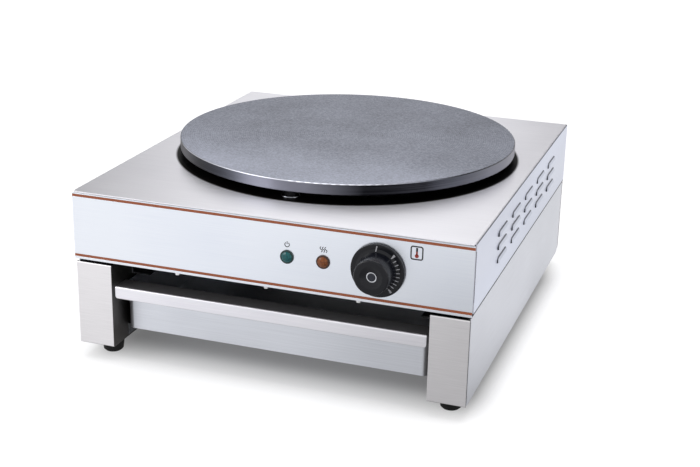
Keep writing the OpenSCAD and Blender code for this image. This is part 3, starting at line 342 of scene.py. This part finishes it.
# On the drawer's bar, the rougher faces turned up or down are painted a darker grey as shade.
bar_steel = brushed_steel("ground_stainless_bar", "X", "F8F7FC", "ECEBF2", 0.30, lines=0.8,
                          length=50, relief=0.02, patches=((faces_along("Z"), "BCBABE"),))
facing_steel = brushed_steel("fine_satin_facing", "X", "F4F8FF", "EBF0FA", 0.30, lines=0.6,
                             relief=0.015)
dress(cover_steel, "top_cover")
dress(side_steel, "side_panel_right", "side_panel_left")
dress(leg_steel, "leg_frame_right", "leg_frame_left")
dress(tray_steel, "drawer_tray")
dress(bar_steel, "drawer_handle")
dress(facing_steel, "fascia")

# %% [markdown]
# ## Plated, turned and stamped small metal
# Zinc plate on the hidden brackets is a little blotchy, and the floor panel is painted nearly
# black as the shade in the space over the drawer. Chrome on the screws and washers is smooth and
# bright. Brass and copper have their own colours, and the heater tube is dark from heat. All are
# metals whose spots differ in size and depth, so one recipe serves them.

# %% Small metals


def spotted_metal(name, light, dark, rough, spot):
    """A metal with soft spots of that size in mm."""
    material, output = blank(name)
    spots = add(material, "ShaderNodeTexNoise", {"Vector": place_of(material),
                                                "Scale": 1000 / spot, "Detail": 4.0}).outputs["Fac"]
    tone = add(material, "ShaderNodeValToRGB", {"Fac": spots}, stops=((0.35, dark), (0.65, light)))
    gloss = add(material, "ShaderNodeMapRange", {"Value": spots, "To Min": rough + 0.08,
                                                 "To Max": rough - 0.04})
    edge = add(material, "ShaderNodeBevel", {"Radius": 0.3 * MM}, samples=4)
    shader = add(material, "ShaderNodeBsdfPrincipled",
                 {"Base Color": tone.outputs[0], "Roughness": gloss.outputs[0], "Metallic": 1.0,
                  "Normal": edge.outputs[0]})
    return finish_with(material, output, shader)


# The floor panel is painted nearly black as the shade over the drawer.
dress(spotted_metal("shaded_floor_zinc", "1C1B1D", "121213", 0.44, 9), "floor_panel")
dress(spotted_metal("zinc_plate", "8E9094", "6A6C70", 0.38, 9), "runner_right",
      "runner_left", "guide_right", "guide_left", "guide_rivets", "base_bolts", "base_nuts",
      "foot_screws", "plate_studs", "plate_underside_nuts", "element_terminals", "element_clamp",
      "clamp_bolt", "heat_shield", "shield_screws", "thermostat_shaft")
dress(spotted_metal("bright_chrome", "F4F4F6", "DEDEE2", 0.10, 14), "panel_screws",
      "thermostat_screws", "drawer_rivets")
dress(spotted_metal("heat_tinted_chrome", "8E9096", "66686E", 0.14, 6), "seat_washers")
dress(spotted_metal("blackened_steel", "2C2C2E", "1A1A1C", 0.42, 5), "plate_locknuts")
dress(spotted_metal("turned_brass", "D8B878", "B08C4C", 0.26, 8), "thermostat_bush",
      "terminal_screws", "earth_stud")
dress(spotted_metal("drawn_copper", "D89A70", "A86C44", 0.32, 7), "sensor_bulb")
dress(spotted_metal("heat_dark_alloy", "4A4A4C", "26262A", 0.46, 6), "heating_element")

# %% [markdown]
# ## Painted light and shade round the plate
# The plate's rim is turned, and its tone is painted in bands of highlight and shade: dark in two
# places, lighter in others. The edge above it has a painted highlight, mostly in front, and a
# painted dark line on the right. Both are told by the angle round the plate, in degrees from the
# front to the right.

# %% Tones round the rim
# Painted tones for shade, half light and highlight round the rim.
SHADE_TONE, HALF_LIT_TONE, LIT_TONE = "101014", "46484F", "7C7D87"
RIM_LIGHT_AND_SHADE = ((-180, HALF_LIT_TONE), (-80, SHADE_TONE), (-38, SHADE_TONE), (-20, HALF_LIT_TONE), (-6, LIT_TONE), (6, LIT_TONE),
             (24, SHADE_TONE), (44, SHADE_TONE), (54, HALF_LIT_TONE), (72, LIT_TONE), (100, LIT_TONE), (180, HALF_LIT_TONE))
# The edge's painted highlight in front and painted dark line on the right.
EDGE_HIGHLIGHT, DULL = "D8DAE2", "8A8C96"
EDGE_LIGHT_AND_SHADE = ((-180, DULL), (-60, HALF_LIT_TONE), (-48, EDGE_HIGHLIGHT), (10, EDGE_HIGHLIGHT), (40, DULL), (58, SHADE_TONE),
              (110, HALF_LIT_TONE), (180, DULL))


def round_tone(material, centred, tones):
    """A tone by the angle round the plate, from a short list of angles and tones."""
    turn = add(material, "ShaderNodeMapping", {"Vector": centred,
                                               "Rotation": (0, 0, math.radians(90))}).outputs[0]
    angle = add(material, "ShaderNodeTexGradient", {"Vector": turn}, gradient_type="RADIAL")
    return add(material, "ShaderNodeValToRGB", {"Fac": angle.outputs["Fac"]},
               stops=[((degrees + 180) / 360, code) for degrees, code in tones]).outputs[0]


def shaded_rim(material, centred):
    """The rim's painted highlight and shade, with the faint lines of the lathe."""
    lathe = add(material, "ShaderNodeTexNoise", {"Vector": place_of(material, scale=(6, 6, 1400)),
                                                "Scale": 1.0, "Detail": 2.0})
    lines = between(material, lathe.outputs["Fac"], 0.4, 4.0)
    banded = round_tone(material, centred, RIM_LIGHT_AND_SHADE)
    return add(material, "ShaderNodeMix", {0: lines, 6: banded, 7: linear("9A9CA6")},
               data_type="RGBA").outputs[2]


print("rim tones at", len(RIM_LIGHT_AND_SHADE), "angles, edge tones at", len(EDGE_LIGHT_AND_SHADE))

# %% [markdown]
# ## The cooking face
# The plate is grey cast iron. Its top is face-turned, ground fine and coated dark, which leaves
# a tight grain of about 1 mm and the faintest circles. Towards the front it is painted a little
# lighter, as a painted sheen.

# %% Tones of the top


def iron_grain(material, centred):
    """Grain, clouds and turning circles in one pattern."""
    grain = add(material, "ShaderNodeTexNoise", {"Vector": centred, "Scale": 420.0, "Detail": 4.0,
                                                "Roughness": 0.75}).outputs["Fac"]
    cloud = add(material, "ShaderNodeTexNoise", {"Vector": centred, "Scale": 11.0,
                                                "Detail": 4.0}).outputs["Fac"]
    circles = add(material, "ShaderNodeTexWave",
                  {"Vector": centred, "Scale": 120.0, "Distortion": 1.5, "Detail": 2.0,
                   "Detail Scale": 3.0}, wave_type="RINGS", rings_direction="Z").outputs["Fac"]
    mottled = add(material, "ShaderNodeMix", {"Factor": 0.24, "A": grain, "B": cloud},
                  data_type="FLOAT").outputs[0]
    return add(material, "ShaderNodeMix", {"Factor": 0.06, "A": mottled, "B": circles},
               data_type="FLOAT").outputs[0]


def sheened_top(material, pattern, depth):
    """The top's tone, with a painted sheen towards the front. Depth is the place from the middle of
    the plate to the rear.
    """
    # A painted sheen lightens the top towards the front.
    front_sheen = between(material, depth, -30 * MM, -190 * MM, smooth=True)
    sheened_tone = add(material, "ShaderNodeMath", {0: front_sheen, 1: 0.18, 2: pattern},
                 operation="MULTIPLY_ADD")
    return add(material, "ShaderNodeValToRGB", {"Fac": sheened_tone.outputs[0]},
               stops=((0.38, "656872"), (0.78, "B6BACA"))).outputs[0]


print("plate centre at", tuple(round(part, 4) for part in plate_axis))

# %% [markdown]
# ## Top, edge and rim in one material
# The height on the piece tells the top from the rim, and a band of a millimetre between them is
# the edge with its painted highlight. The coat on the top is duller and only part metal, while the
# rim shines as metal.

# %% Cast-iron plate


def plate_iron():
    material, output = blank("seasoned_cast_iron")
    centred = place_of(material, shift=(-plate_axis.x, -plate_axis.y, 0))
    place = add(material, "ShaderNodeSeparateXYZ", {"Vector": centred})
    pattern = iron_grain(material, centred)
    on_top = between(material, place.outputs["Z"], plate_top - 0.5 * MM, plate_top - 0.1 * MM)
    near_edge = between(material, place.outputs["Z"], plate_top - 1.4 * MM, plate_top - 1.0 * MM)
    # The band under the top carries the edge's painted highlight.
    edge_band = add(material, "ShaderNodeMath", {0: near_edge, 1: on_top}, operation="SUBTRACT")
    rim = add(material, "ShaderNodeMix",
              {0: edge_band.outputs[0], 6: shaded_rim(material, centred),
               7: round_tone(material, centred, EDGE_LIGHT_AND_SHADE)}, data_type="RGBA")
    tone = add(material, "ShaderNodeMix",
               {0: on_top, 6: rim.outputs[2], 7: sheened_top(material, pattern, place.outputs["Y"])},
               data_type="RGBA")
    metal = add(material, "ShaderNodeMapRange", {"Value": on_top, "To Min": 1.0, "To Max": 0.55})
    gloss = add(material, "ShaderNodeMapRange", {"Value": on_top, "To Min": 0.30, "To Max": 0.44})
    bumps = add(material, "ShaderNodeBump", {"Height": pattern, "Strength": 0.22,
                                             "Distance": 0.3 * MM})
    shader = add(material, "ShaderNodeBsdfPrincipled",
                 {"Base Color": tone.outputs[2], "Metallic": metal.outputs[0],
                  "Roughness": gloss.outputs[0], "Normal": bumps.outputs[0]})
    return finish_with(material, output, shader)


dress(plate_iron(), "cooking_plate")

# %% [markdown]
# ## Moulded plastic, rubber, ceramic and sleeves
# Phenolic resin, rubber and steatite are not metals, and their surfaces come from a mould:
# a fine even pebble with a dull gloss. Colour, gloss and pebble differ, and the recipe stays.

# %% Moulded materials


def moulded(name, light, dark, rough, pebble, relief=0.12, coat=0.0, shine=0.5):
    """A moulded surface with a pebble of that size in mm. Shine 0.5 is that of common plastic."""
    material, output = blank(name)
    texture = add(material, "ShaderNodeTexNoise",
                  {"Vector": place_of(material), "Scale": 1000 / pebble,
                   "Detail": 3.0}).outputs["Fac"]
    tone = add(material, "ShaderNodeValToRGB", {"Fac": texture}, stops=((0.3, dark), (0.7, light)))
    gloss = add(material, "ShaderNodeMapRange", {"Value": texture, "To Min": rough + 0.06,
                                                 "To Max": rough - 0.04})
    edge = add(material, "ShaderNodeBevel", {"Radius": 0.3 * MM}, samples=4)
    bumps = add(material, "ShaderNodeBump", {"Height": texture, "Strength": relief,
                                             "Distance": 0.1 * MM, "Normal": edge.outputs[0]})
    shader = add(material, "ShaderNodeBsdfPrincipled",
                 {"Base Color": tone.outputs[0], "Roughness": gloss.outputs[0],
                  "Coat Weight": coat, "Specular IOR Level": shine, "Normal": bumps.outputs[0]})
    return finish_with(material, output, shader)


dress(moulded("phenolic_knob", "10121C", "0A0B11", 0.20, 0.7, relief=0.05, shine=0.34),
      "dial_knob")
dress(moulded("green_bezel_resin", "123A38", "0A2624", 0.26, 0.7, relief=0.05),
      "power_lamp_bezel")
dress(moulded("brown_bezel_resin", "4A2A18", "321A0E", 0.26, 0.7, relief=0.05), "heat_lamp_bezel")
dress(moulded("phenolic_trim", "141416", "0C0C0E", 0.34, 0.7), "lamp_nuts", "cable_gland",
      "gland_nut")
dress(moulded("moulded_rubber", "0D0D0D", "070707", 0.60, 1.2, relief=0.25, shine=0.35),
      "rubber_feet", "base_spacers")
dress(moulded("unglazed_steatite", "E4E0D2", "CEC8B8", 0.62, 1.0), "thermostat_body",
      "terminal_block", "overheat_cutout")
dress(moulded("silicone_sleeve", "B8402E", "9C3020", 0.50, 1.5), "wiring_loom")
dress(moulded("ceramic_fibre", "F0ECE2", "D8D2C4", 0.92, 2.5, relief=0.8), "fibre_pad")
dress(moulded("copper_lacquer", "B4623A", "A65630", 0.40, 1.5, relief=0.04, coat=0.2),
      "fascia_stripes")

# %% [markdown]
# ## Badge in the knob
# The knob's cap is a bright ring round a bare dark field. It is one small disc, so the distance
# from the knob's axis tells the ring from the field.

# %% Badge ring in the knob
FIELD_EDGE, RING_EDGE = 4.35 * MM, 4.55 * MM


def ringed_badge():
    material, output = blank("ringed_badge")
    centred = place_of(material, shift=(-knob_axis.x, 0, -knob_axis.z), scale=(1, 0, 1))
    reach = add(material, "ShaderNodeVectorMath", {0: centred}, operation="LENGTH").outputs["Value"]
    on_ring = between(material, reach, FIELD_EDGE, RING_EDGE)
    specks = add(material, "ShaderNodeTexNoise", {"Vector": centred, "Scale": 500.0, "Detail": 3.0})
    field = add(material, "ShaderNodeValToRGB", {"Fac": specks.outputs["Fac"]},
                stops=((0.0, "10131C"), (1.0, "232A3C")))
    tone = add(material, "ShaderNodeMix", {0: on_ring, 6: field.outputs[0], 7: linear("E4E6EC")},
               data_type="RGBA")
    shader = add(material, "ShaderNodeBsdfPrincipled",
                 {"Base Color": tone.outputs[2], "Roughness": 0.22, "Metallic": on_ring})
    return finish_with(material, output, shader)


dress(ringed_badge(), "knob_cap")

# %% [markdown]
# ## Lamp lenses
# A neon lamp's lens is clear coloured polycarbonate over a bright base. Some light passes
# through, so the shader transmits a part and keeps a deep colour. The facets inside such a
# lens scatter light, and a small cell pattern in the normal stands for them.

# %% Lamp lenses


def lens(name, code, glow):
    material, output = blank(name)
    facets = add(material, "ShaderNodeTexVoronoi",
                 {"Vector": place_of(material), "Scale": 1000 / 1.6}).outputs["Distance"]
    bumps = add(material, "ShaderNodeBump", {"Height": facets, "Strength": 0.35,
                                             "Distance": 0.4 * MM})
    tone = add(material, "ShaderNodeValToRGB", {"Fac": facets}, stops=((0.0, glow), (0.8, code)))
    shader = add(material, "ShaderNodeBsdfPrincipled",
                 {"Base Color": tone.outputs[0], "Roughness": 0.16, "IOR": 1.50,
                  "Transmission Weight": 0.15, "Specular IOR Level": 0.4,
                  "Normal": bumps.outputs[0]})
    return finish_with(material, output, shader)


dress(lens("green_lens_resin", "04565A", "0A7A7C"), "power_lamp_lens")
dress(lens("amber_lens_resin", "7E3E14", "B0662C"), "heat_lamp_lens")

# %% [markdown]
# ## Printed marks
# The dial's strokes and the small signs on the fascia are pad-printed ink, a few hundredths of
# a millimetre thick. Each one is cut from flat outlines and given a real thickness, because a
# coplanar sheet would flicker. Three helpers draw bars, discs and rings as bmesh faces in the
# plane of the front, with the ink's colours beside them.

# %% Ink and flat outlines


def ink(name, light, dark):
    return moulded(name, light, dark, 0.45, 0.9, relief=0.03)


dial_ink = ink("grey_white_print", "C2C2C8", "A4A4AA")
dark_ink = ink("dark_print", "16181E", "0E1014")
red_ink = ink("red_print", "B04030", "A03424")


def bar_shape(bm, length, width, at=(0, 0), turn=0.0, taper=1.0):
    """A flat bar in the XZ plane, centred at a point in mm and turned by degrees. Taper is the
    width of its far end as a share of the near one."""
    made = bmesh.ops.create_grid(bm, x_segments=1, y_segments=1, size=0.5)["verts"]
    for vertex in made:
        across = width * (taper if vertex.co.x > 0 else 1.0)
        vertex.co = Vector((vertex.co.x * length, 0, vertex.co.y * across))
    bmesh.ops.rotate(bm, verts=made, cent=(0, 0, 0),
                     matrix=Matrix.Rotation(math.radians(-turn), 3, "Y"))
    bmesh.ops.translate(bm, verts=made, vec=(at[0], 0, at[1]))


def disc_shape(bm, radius, at=(0, 0), steps=28):
    """A flat disc in the XZ plane."""
    made = bmesh.ops.create_circle(bm, cap_ends=True, segments=steps, radius=radius)["verts"]
    bmesh.ops.rotate(bm, verts=made, cent=(0, 0, 0),
                     matrix=Matrix.Rotation(math.radians(90), 3, "X"))
    bmesh.ops.translate(bm, verts=made, vec=(at[0], 0, at[1]))


def ring_shape(bm, radius, width, at=(0, 0), start=0.0, sweep=360.0, steps=32):
    """A flat ring, or a part of one, spun from a short edge."""
    inner = bm.verts.new((radius - width / 2, 0, 0))
    outer = bm.verts.new((radius + width / 2, 0, 0))
    edge = bm.edges.new((inner, outer))
    bmesh.ops.rotate(bm, verts=[inner, outer], cent=(0, 0, 0),
                     matrix=Matrix.Rotation(math.radians(-start), 3, "Y"))
    before = set(bm.verts) - {inner, outer}
    bmesh.ops.spin(bm, geom=[inner, outer, edge], cent=(0, 0, 0), axis=(0, -1, 0), steps=steps,
                   angle=math.radians(sweep), use_merge=sweep >= 360)
    bmesh.ops.translate(bm, verts=list(set(bm.verts) - before), vec=(at[0], 0, at[1]))


print("inks:", dial_ink.name, dark_ink.name, red_ink.name)

# %% [markdown]
# ## From outline to print
# The flat faces are turned to look towards the user and drawn out by the thickness of the ink.
# The object then gets its body, so that it moves with the piece it is printed on.

# %% Printing
INK = 0.12


def print_on(name, bm, centre, face_y, material, body, foot=None):
    """Gives the flat faces the thickness of ink towards the user and makes the object, with its
    place in its mesh. Inside the foot radius the marks climb a cone of one in three."""
    bmesh.ops.remove_doubles(bm, verts=bm.verts, dist=1e-4)
    for vertex in bm.verts if foot else ():
        vertex.co.y = -max(0.0, foot - math.hypot(vertex.co.x, vertex.co.z)) / 3
    bmesh.ops.recalc_face_normals(bm, faces=bm.faces)
    for face in bm.faces:
        if face.normal.y > 0:
            face.normal_flip()
    raised = bmesh.ops.extrude_face_region(bm, geom=list(bm.faces))["geom"]
    bmesh.ops.translate(bm, verts=[g for g in raised if isinstance(g, bmesh.types.BMVert)],
                        vec=(0, -INK, 0))
    bmesh.ops.recalc_face_normals(bm, faces=bm.faces)
    bmesh.ops.scale(bm, verts=bm.verts, vec=(MM, MM, MM))
    bmesh.ops.translate(bm, verts=bm.verts, vec=(centre[0], face_y, centre[1]))
    mesh = bpy.data.meshes.new(name)
    bm.to_mesh(mesh)
    bm.free()
    piece = bpy.data.objects.new(name, mesh)
    scene.collection.objects.link(piece)
    mesh.materials.append(material)
    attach(piece, body)
    print(name, len(mesh.polygons), "faces")


# %% [markdown]
# ## The dial
# The knob's skirt carries a zero line near the top and a fan of short strokes on its right,
# which end in a wedge at each end: the usual scale of a capillary thermostat. They turn with
# the knob. The skirt is 3 mm thick, and its face rises into the grip as a shallow cone, so the
# inner ends of the strokes climb it.

# %% Dial marks
SKIRT, CONE_FOOT = 3.0, 23.6
FIRST_STROKE, STROKE_STEP, STROKES = 55, 11, 8
skirt_face = Vector(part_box("dial_knob")[1]).y - SKIRT * MM


def on_dial(angle, radius):
    """A point at that clock angle, in degrees to the right of the top."""
    return radius * math.sin(math.radians(angle)), radius * math.cos(math.radians(angle))


strokes = bmesh.new()
bar_shape(strokes, 5.8, 1.2, (-1.3, 24.0), turn=81)
for i in range(STROKES):
    angle = FIRST_STROKE + i * STROKE_STEP
    bar_shape(strokes, 3.6, 0.9, on_dial(angle, 22.4), turn=90 - angle)
for angle in (43, 144):
    bar_shape(strokes, 5.0, 1.1, on_dial(angle, 24.0), turn=90 - angle, taper=2.4)
print_on("dial_strokes", strokes, (knob_axis.x, knob_axis.z), skirt_face, dial_ink, "knob",
         foot=CONE_FOOT)

# %% [markdown]
# ## Signs over the lamps
# Over the first lamp stands a small mains sign, a broken ring with a stroke, and over the
# second three rising waves for heat.

# %% Lamp signs
lamp_power = centre_of("power_lamp_bezel")
lamp_heat = centre_of("heat_lamp_bezel")
sign_height = lamp_power.z + 13.5 * MM

mains = bmesh.new()
ring_shape(mains, 2.5, 0.85, start=125, sweep=290)
bar_shape(mains, 3.0, 0.85, (0, 2.0), turn=90)
print_on("mains_sign", mains, (lamp_power.x, sign_height), fascia_face, dark_ink, "cabinet")

waves = bmesh.new()
for x in (-2.6, 0, 2.6):
    ring_shape(waves, 1.4, 0.8, at=(x, -1.4), start=-80, sweep=160, steps=12)
    ring_shape(waves, 1.4, 0.8, at=(x + 0.46, 1.4), start=100, sweep=160, steps=12)
print_on("heat_sign", waves, (lamp_heat.x, sign_height), fascia_face, dark_ink, "cabinet")

# %% [markdown]
# ## Framed thermometer
# Right of the knob a framed thermometer says what the knob sets. Frame and stem are dark ink,
# and the column with its bulb is red. Two inks are two passes of the printing pad, and so they
# are two objects.

# %% Framed thermometer
sign_centre = (164.9 * MM, housing_foot + 61.3 * MM)
FRAME_W, FRAME_H, LINE = 13.5, 15.0, 1.35


def rounded_frame(bm, width, height, line, corner=2.0):
    """A rectangular outline whose corners are quarter rings."""
    x, z = width / 2 - line / 2, height / 2 - line / 2
    for s in (-1, 1):
        bar_shape(bm, 2 * (x - corner), line, (0, s * z))
        bar_shape(bm, 2 * (z - corner), line, (s * x, 0), turn=90)
    for sx, sz, start in ((1, 1, 0), (-1, 1, 90), (-1, -1, 180), (1, -1, 270)):
        ring_shape(bm, corner, line, at=(sx * (x - corner), sz * (z - corner)), start=start,
                   sweep=90, steps=8)


box_lines = bmesh.new()
rounded_frame(box_lines, FRAME_W, FRAME_H, LINE)
bar_shape(box_lines, 4.0, 2.0, (0, 3.5), turn=90)
print_on("thermometer_frame", box_lines, sign_centre, fascia_face, dark_ink, "cabinet")
column = bmesh.new()
bar_shape(column, 3.4, 1.9, (0, -0.2), turn=90)
disc_shape(column, 2.1, (0, -3.2))
print_on("thermometer_column", column, sign_centre, fascia_face, red_ink, "cabinet")

# %% [markdown]
# ## How white the floor is
# The object stands on white paper. A glow that only the camera, mirrors and glass see brings it
# to white. The glow fades out under the object, so that the shadow there stays, and it grows
# where the lamps' light thins out. Mirrors see the floor in front a little darker, as if a
# grey card lay there. The object counts as a box here, and depth counts less than width.

# %% Glow of the floor
DEPTH_SHARE = 0.45
HALF_WIDTH, HALF_DEPTH, FADE = 0.202, 0.076, 0.045
SHADOW_GLOW, PAPER_GLOW, FAR_GLOW = 0.13, 0.70, 0.30
FAR_FROM, FAR_FULL = 0.9, 2.4
CARD_AT, CARD_HALF, CARD_REACH = (0.30, -0.46, 0), 0.05, 0.56
CARD_SHADE, MIRROR_SHADE = 0.40, 0.78


def floor_glow(material):
    """The strength of the glow, from the distance to the object's box and to the middle."""
    spread = add(material, "ShaderNodeVectorMath",
                 {0: place_of(material, scale=(1, DEPTH_SHARE, 1), shift=(-3 * MM, 0, 0))},
                 operation="ABSOLUTE")
    beyond = add(material, "ShaderNodeVectorMath", {0: spread.outputs[0],
                                                    1: (HALF_WIDTH, HALF_DEPTH, 0.0)},
                 operation="SUBTRACT")
    outside = add(material, "ShaderNodeVectorMath", {0: beyond.outputs[0], 1: (0, 0, 0)},
                  operation="MAXIMUM")
    gap = add(material, "ShaderNodeVectorMath", {0: outside.outputs[0]}, operation="LENGTH")
    lift = add(material, "ShaderNodeMapRange",
               {"Value": gap.outputs["Value"], "From Max": FADE, "To Min": SHADOW_GLOW,
                "To Max": PAPER_GLOW}, interpolation_type="SMOOTHSTEP")
    reach = add(material, "ShaderNodeVectorMath", {0: place_of(material)}, operation="LENGTH")
    far = between(material, reach.outputs["Value"], FAR_FROM, FAR_FULL)
    return add(material, "ShaderNodeMath", {0: far, 1: FAR_GLOW, 2: lift.outputs[0]},
               operation="MULTIPLY_ADD").outputs[0]


def card_shade(material, glossy):
    """1 for every ray but a mirror's, which sees the floor darker, and darkest at the card."""
    card = add(material, "ShaderNodeVectorMath", {0: place_of(material), 1: CARD_AT},
               operation="DISTANCE")
    away = add(material, "ShaderNodeMapRange",
               {"Value": card.outputs["Value"], "From Min": CARD_HALF, "From Max": CARD_REACH,
                "To Min": CARD_SHADE, "To Max": MIRROR_SHADE}, interpolation_type="SMOOTHSTEP")
    return add(material, "ShaderNodeMix", {"Factor": glossy, "A": 1.0, "B": away.outputs[0]},
               data_type="FLOAT").outputs[0]


print("glow under the object", SHADOW_GLOW, "beside it", PAPER_GLOW, "more far off", FAR_GLOW)

# %% [markdown]
# ## The floor itself
# The paper is a large flat sheet a hair under the feet. Its own colour is a light grey, which
# the lamps light, and the glow is added to it. It is stage and no part of the object.

# %% Studio floor
FLOOR_SIZE = 12.0


def white_paper():
    material, output = blank("white_paper")
    path = add(material, "ShaderNodeLightPath").outputs
    mirrored = add(material, "ShaderNodeMath", {0: path["Is Glossy Ray"],
                                                1: path["Is Transmission Ray"]},
                   operation="MAXIMUM")
    any_view = add(material, "ShaderNodeMath", {0: path["Is Camera Ray"], 1: mirrored.outputs[0]},
                   operation="MAXIMUM")
    shown = card_shade(material, path["Is Glossy Ray"])
    shade = add(material, "ShaderNodeVectorMath", {0: linear("B8B8BA")[:3], "Scale": shown},
                operation="SCALE")
    seen = times(material, any_view.outputs[0], floor_glow(material), shown)
    paper = add(material, "ShaderNodeBsdfDiffuse", {"Color": shade.outputs[0]})
    glow = add(material, "ShaderNodeEmission", {"Color": linear("FFFFFF"), "Strength": seen})
    both = add(material, "ShaderNodeAddShader", {0: paper.outputs[0], 1: glow.outputs[0]})
    return finish_with(material, output, both)


bm = bmesh.new()
bmesh.ops.create_grid(bm, x_segments=1, y_segments=1, size=FLOOR_SIZE / 2)
bmesh.ops.translate(bm, verts=bm.verts, vec=(0, 0, -0.05 * MM))
mesh = bpy.data.meshes.new("studio_floor")
bm.to_mesh(mesh)
bm.free()
mesh.materials.append(white_paper())
floor = bpy.data.objects.new("studio_floor", mesh)
scene.collection.objects.link(floor)
print("floor", FLOOR_SIZE, "m wide")

# %% [markdown]
# ## The room that metal sees
# The world is white to the camera and through glass, and matt surfaces get a plain grey level
# from it. Metal would look flat in an even world, so mirrors see a room. Its walls brighten
# upwards and are dim under the ceiling. On the left a dim pillar stands on each side of a
# window, and the right and the front are evenly bright. A place in the room is a part of a
# direction whose length is 1.

# %% Room
WINDOW_AT = -0.305
MATT_LEVEL, PILLAR_LEVEL, RIGHT_LEVEL, FRONT_LEVEL = 0.40, 0.10, 0.92, 0.9
WALL_FOOT_LEVEL, WALL_LEVEL, CEILING_LEVEL = 0.12, 1.07, 0.20

world = bpy.data.worlds.new("studio")
scene.world = world
world.use_nodes = True
world.node_tree.nodes.clear()
towards = add(world, "ShaderNodeTexCoord").outputs["Generated"]
parts = add(world, "ShaderNodeSeparateXYZ", {0: towards}).outputs
wall = add(world, "ShaderNodeMapRange", {"Value": parts["Z"], "From Min": 0.10, "From Max": 0.30,
                                         "To Min": WALL_FOOT_LEVEL, "To Max": WALL_LEVEL})
ceiling = add(world, "ShaderNodeMapRange", {"Value": parts["Z"], "From Min": 0.74,
                                            "From Max": 0.94, "To Min": 1.0,
                                            "To Max": CEILING_LEVEL})
aside = add(world, "ShaderNodeMath", {0: parts["X"], 1: -WINDOW_AT}, operation="ADD")
off = add(world, "ShaderNodeMath", {0: aside.outputs[0]}, operation="ABSOLUTE").outputs[0]
pillar = add(world, "ShaderNodeMath", {0: between(world, off, 0.05, 0.24, smooth=True),
                                       1: between(world, off, 0.30, 0.50, smooth=True)},
             operation="SUBTRACT")
window = add(world, "ShaderNodeMapRange", {"Value": pillar.outputs[0], "To Min": 1.0,
                                           "To Max": PILLAR_LEVEL})
left_part = times(world, wall.outputs[0], window.outputs[0])
far_side = add(world, "ShaderNodeMix", {"Factor": between(world, parts["X"], 0.0, 0.2),
                                        "A": left_part, "B": RIGHT_LEVEL},
               data_type="FLOAT")
walls = add(world, "ShaderNodeMix", {"Factor": between(world, parts["Y"], -0.05, -0.35),
                                     "A": far_side.outputs[0], "B": FRONT_LEVEL},
            data_type="FLOAT")
room = times(world, walls.outputs[0], ceiling.outputs[0])
print("window at", WINDOW_AT, "pillars at level", PILLAR_LEVEL)

# %% [markdown]
# ## Which rays see what
# Light Path tells the kinds of rays apart, so that white paper, grey fill light and the room
# come from one world.

# %% World
path = add(world, "ShaderNodeLightPath").outputs
seen_clear = add(world, "ShaderNodeMath", {0: path["Is Camera Ray"],
                                           1: path["Is Transmission Ray"]}, operation="MAXIMUM")
lit = add(world, "ShaderNodeMix", {"Factor": path["Is Glossy Ray"], "A": MATT_LEVEL,
                                   "B": room}, data_type="FLOAT")
strength = add(world, "ShaderNodeMix", {"Factor": seen_clear.outputs[0], "A": lit.outputs[0],
                                        "B": 1.0}, data_type="FLOAT")
sky = add(world, "ShaderNodeBackground", {"Color": linear("FFFFFF"),
                                          "Strength": strength.outputs[0]})
add(world, "ShaderNodeOutputWorld", {"Surface": sky.outputs[0]})
print("world with", len(world.node_tree.nodes), "nodes")

# %% [markdown]
# ## Lamps
# Three large soft lamps stand above, left in front and right. They are as wide as a window, so
# their shadows have soft edges, and weak enough that pale steel keeps its tone.

# %% Lamps


def soft_lamp(name, place, aim, size, power):
    """A square area lamp, its power in watts."""
    light = bpy.data.lights.new(name, "AREA")
    light.shape = "SQUARE"
    light.size = size
    light.energy = power
    lamp = bpy.data.objects.new(name, light)
    scene.collection.objects.link(lamp)
    towards_aim = (Vector(aim) - Vector(place)).to_track_quat("-Z", "Y").to_matrix().to_4x4()
    lamp.matrix_world = Matrix.Translation(place) @ towards_aim
    print(name, power, "W")


soft_lamp("over_lamp", (0.0, 0.1, 2.2), (0, 0, 0.1), 1.8, 24)
soft_lamp("left_lamp", (-1.7, -1.5, 1.3), (-0.1, -0.1, 0.1), 1.2, 17)
soft_lamp("right_lamp", (2.0, -0.6, 1.2), (0, 0, 0.12), 1.2, 9)

# %% [markdown]
# ## Camera
# A 69 mm lens on a full frame, 1.7 m from the object, a little above it and to its right. The
# matrix is built from the heading, the tilt and a slight roll.

# %% Camera
STAND_AT = (0.4992, -1.4528, 0.6472)
HEADING, TILT, ROLL = -0.324, 0.344, 0.023
FULL_FRAME, FOCAL = 36.0, 68.73

ahead = Vector((math.sin(HEADING) * math.cos(TILT), math.cos(HEADING) * math.cos(TILT),
                -math.sin(TILT)))
level = Vector((math.cos(HEADING), -math.sin(HEADING), 0))
upward = level.cross(ahead)
right = math.cos(ROLL) * level + math.sin(ROLL) * upward
up = -math.sin(ROLL) * level + math.cos(ROLL) * upward
lens_data = bpy.data.cameras.new("camera")
lens_data.sensor_width = FULL_FRAME
lens_data.lens = FOCAL
lens_data.clip_end = 50.0
camera = bpy.data.objects.new("camera", lens_data)
scene.collection.objects.link(camera)
turned = Matrix((right, up, -ahead)).transposed().to_4x4()
camera.matrix_world = Matrix.Translation(STAND_AT) @ turned
scene.camera = camera
print("camera", round(Vector(STAND_AT).length, 2), "m from the middle of the floor")
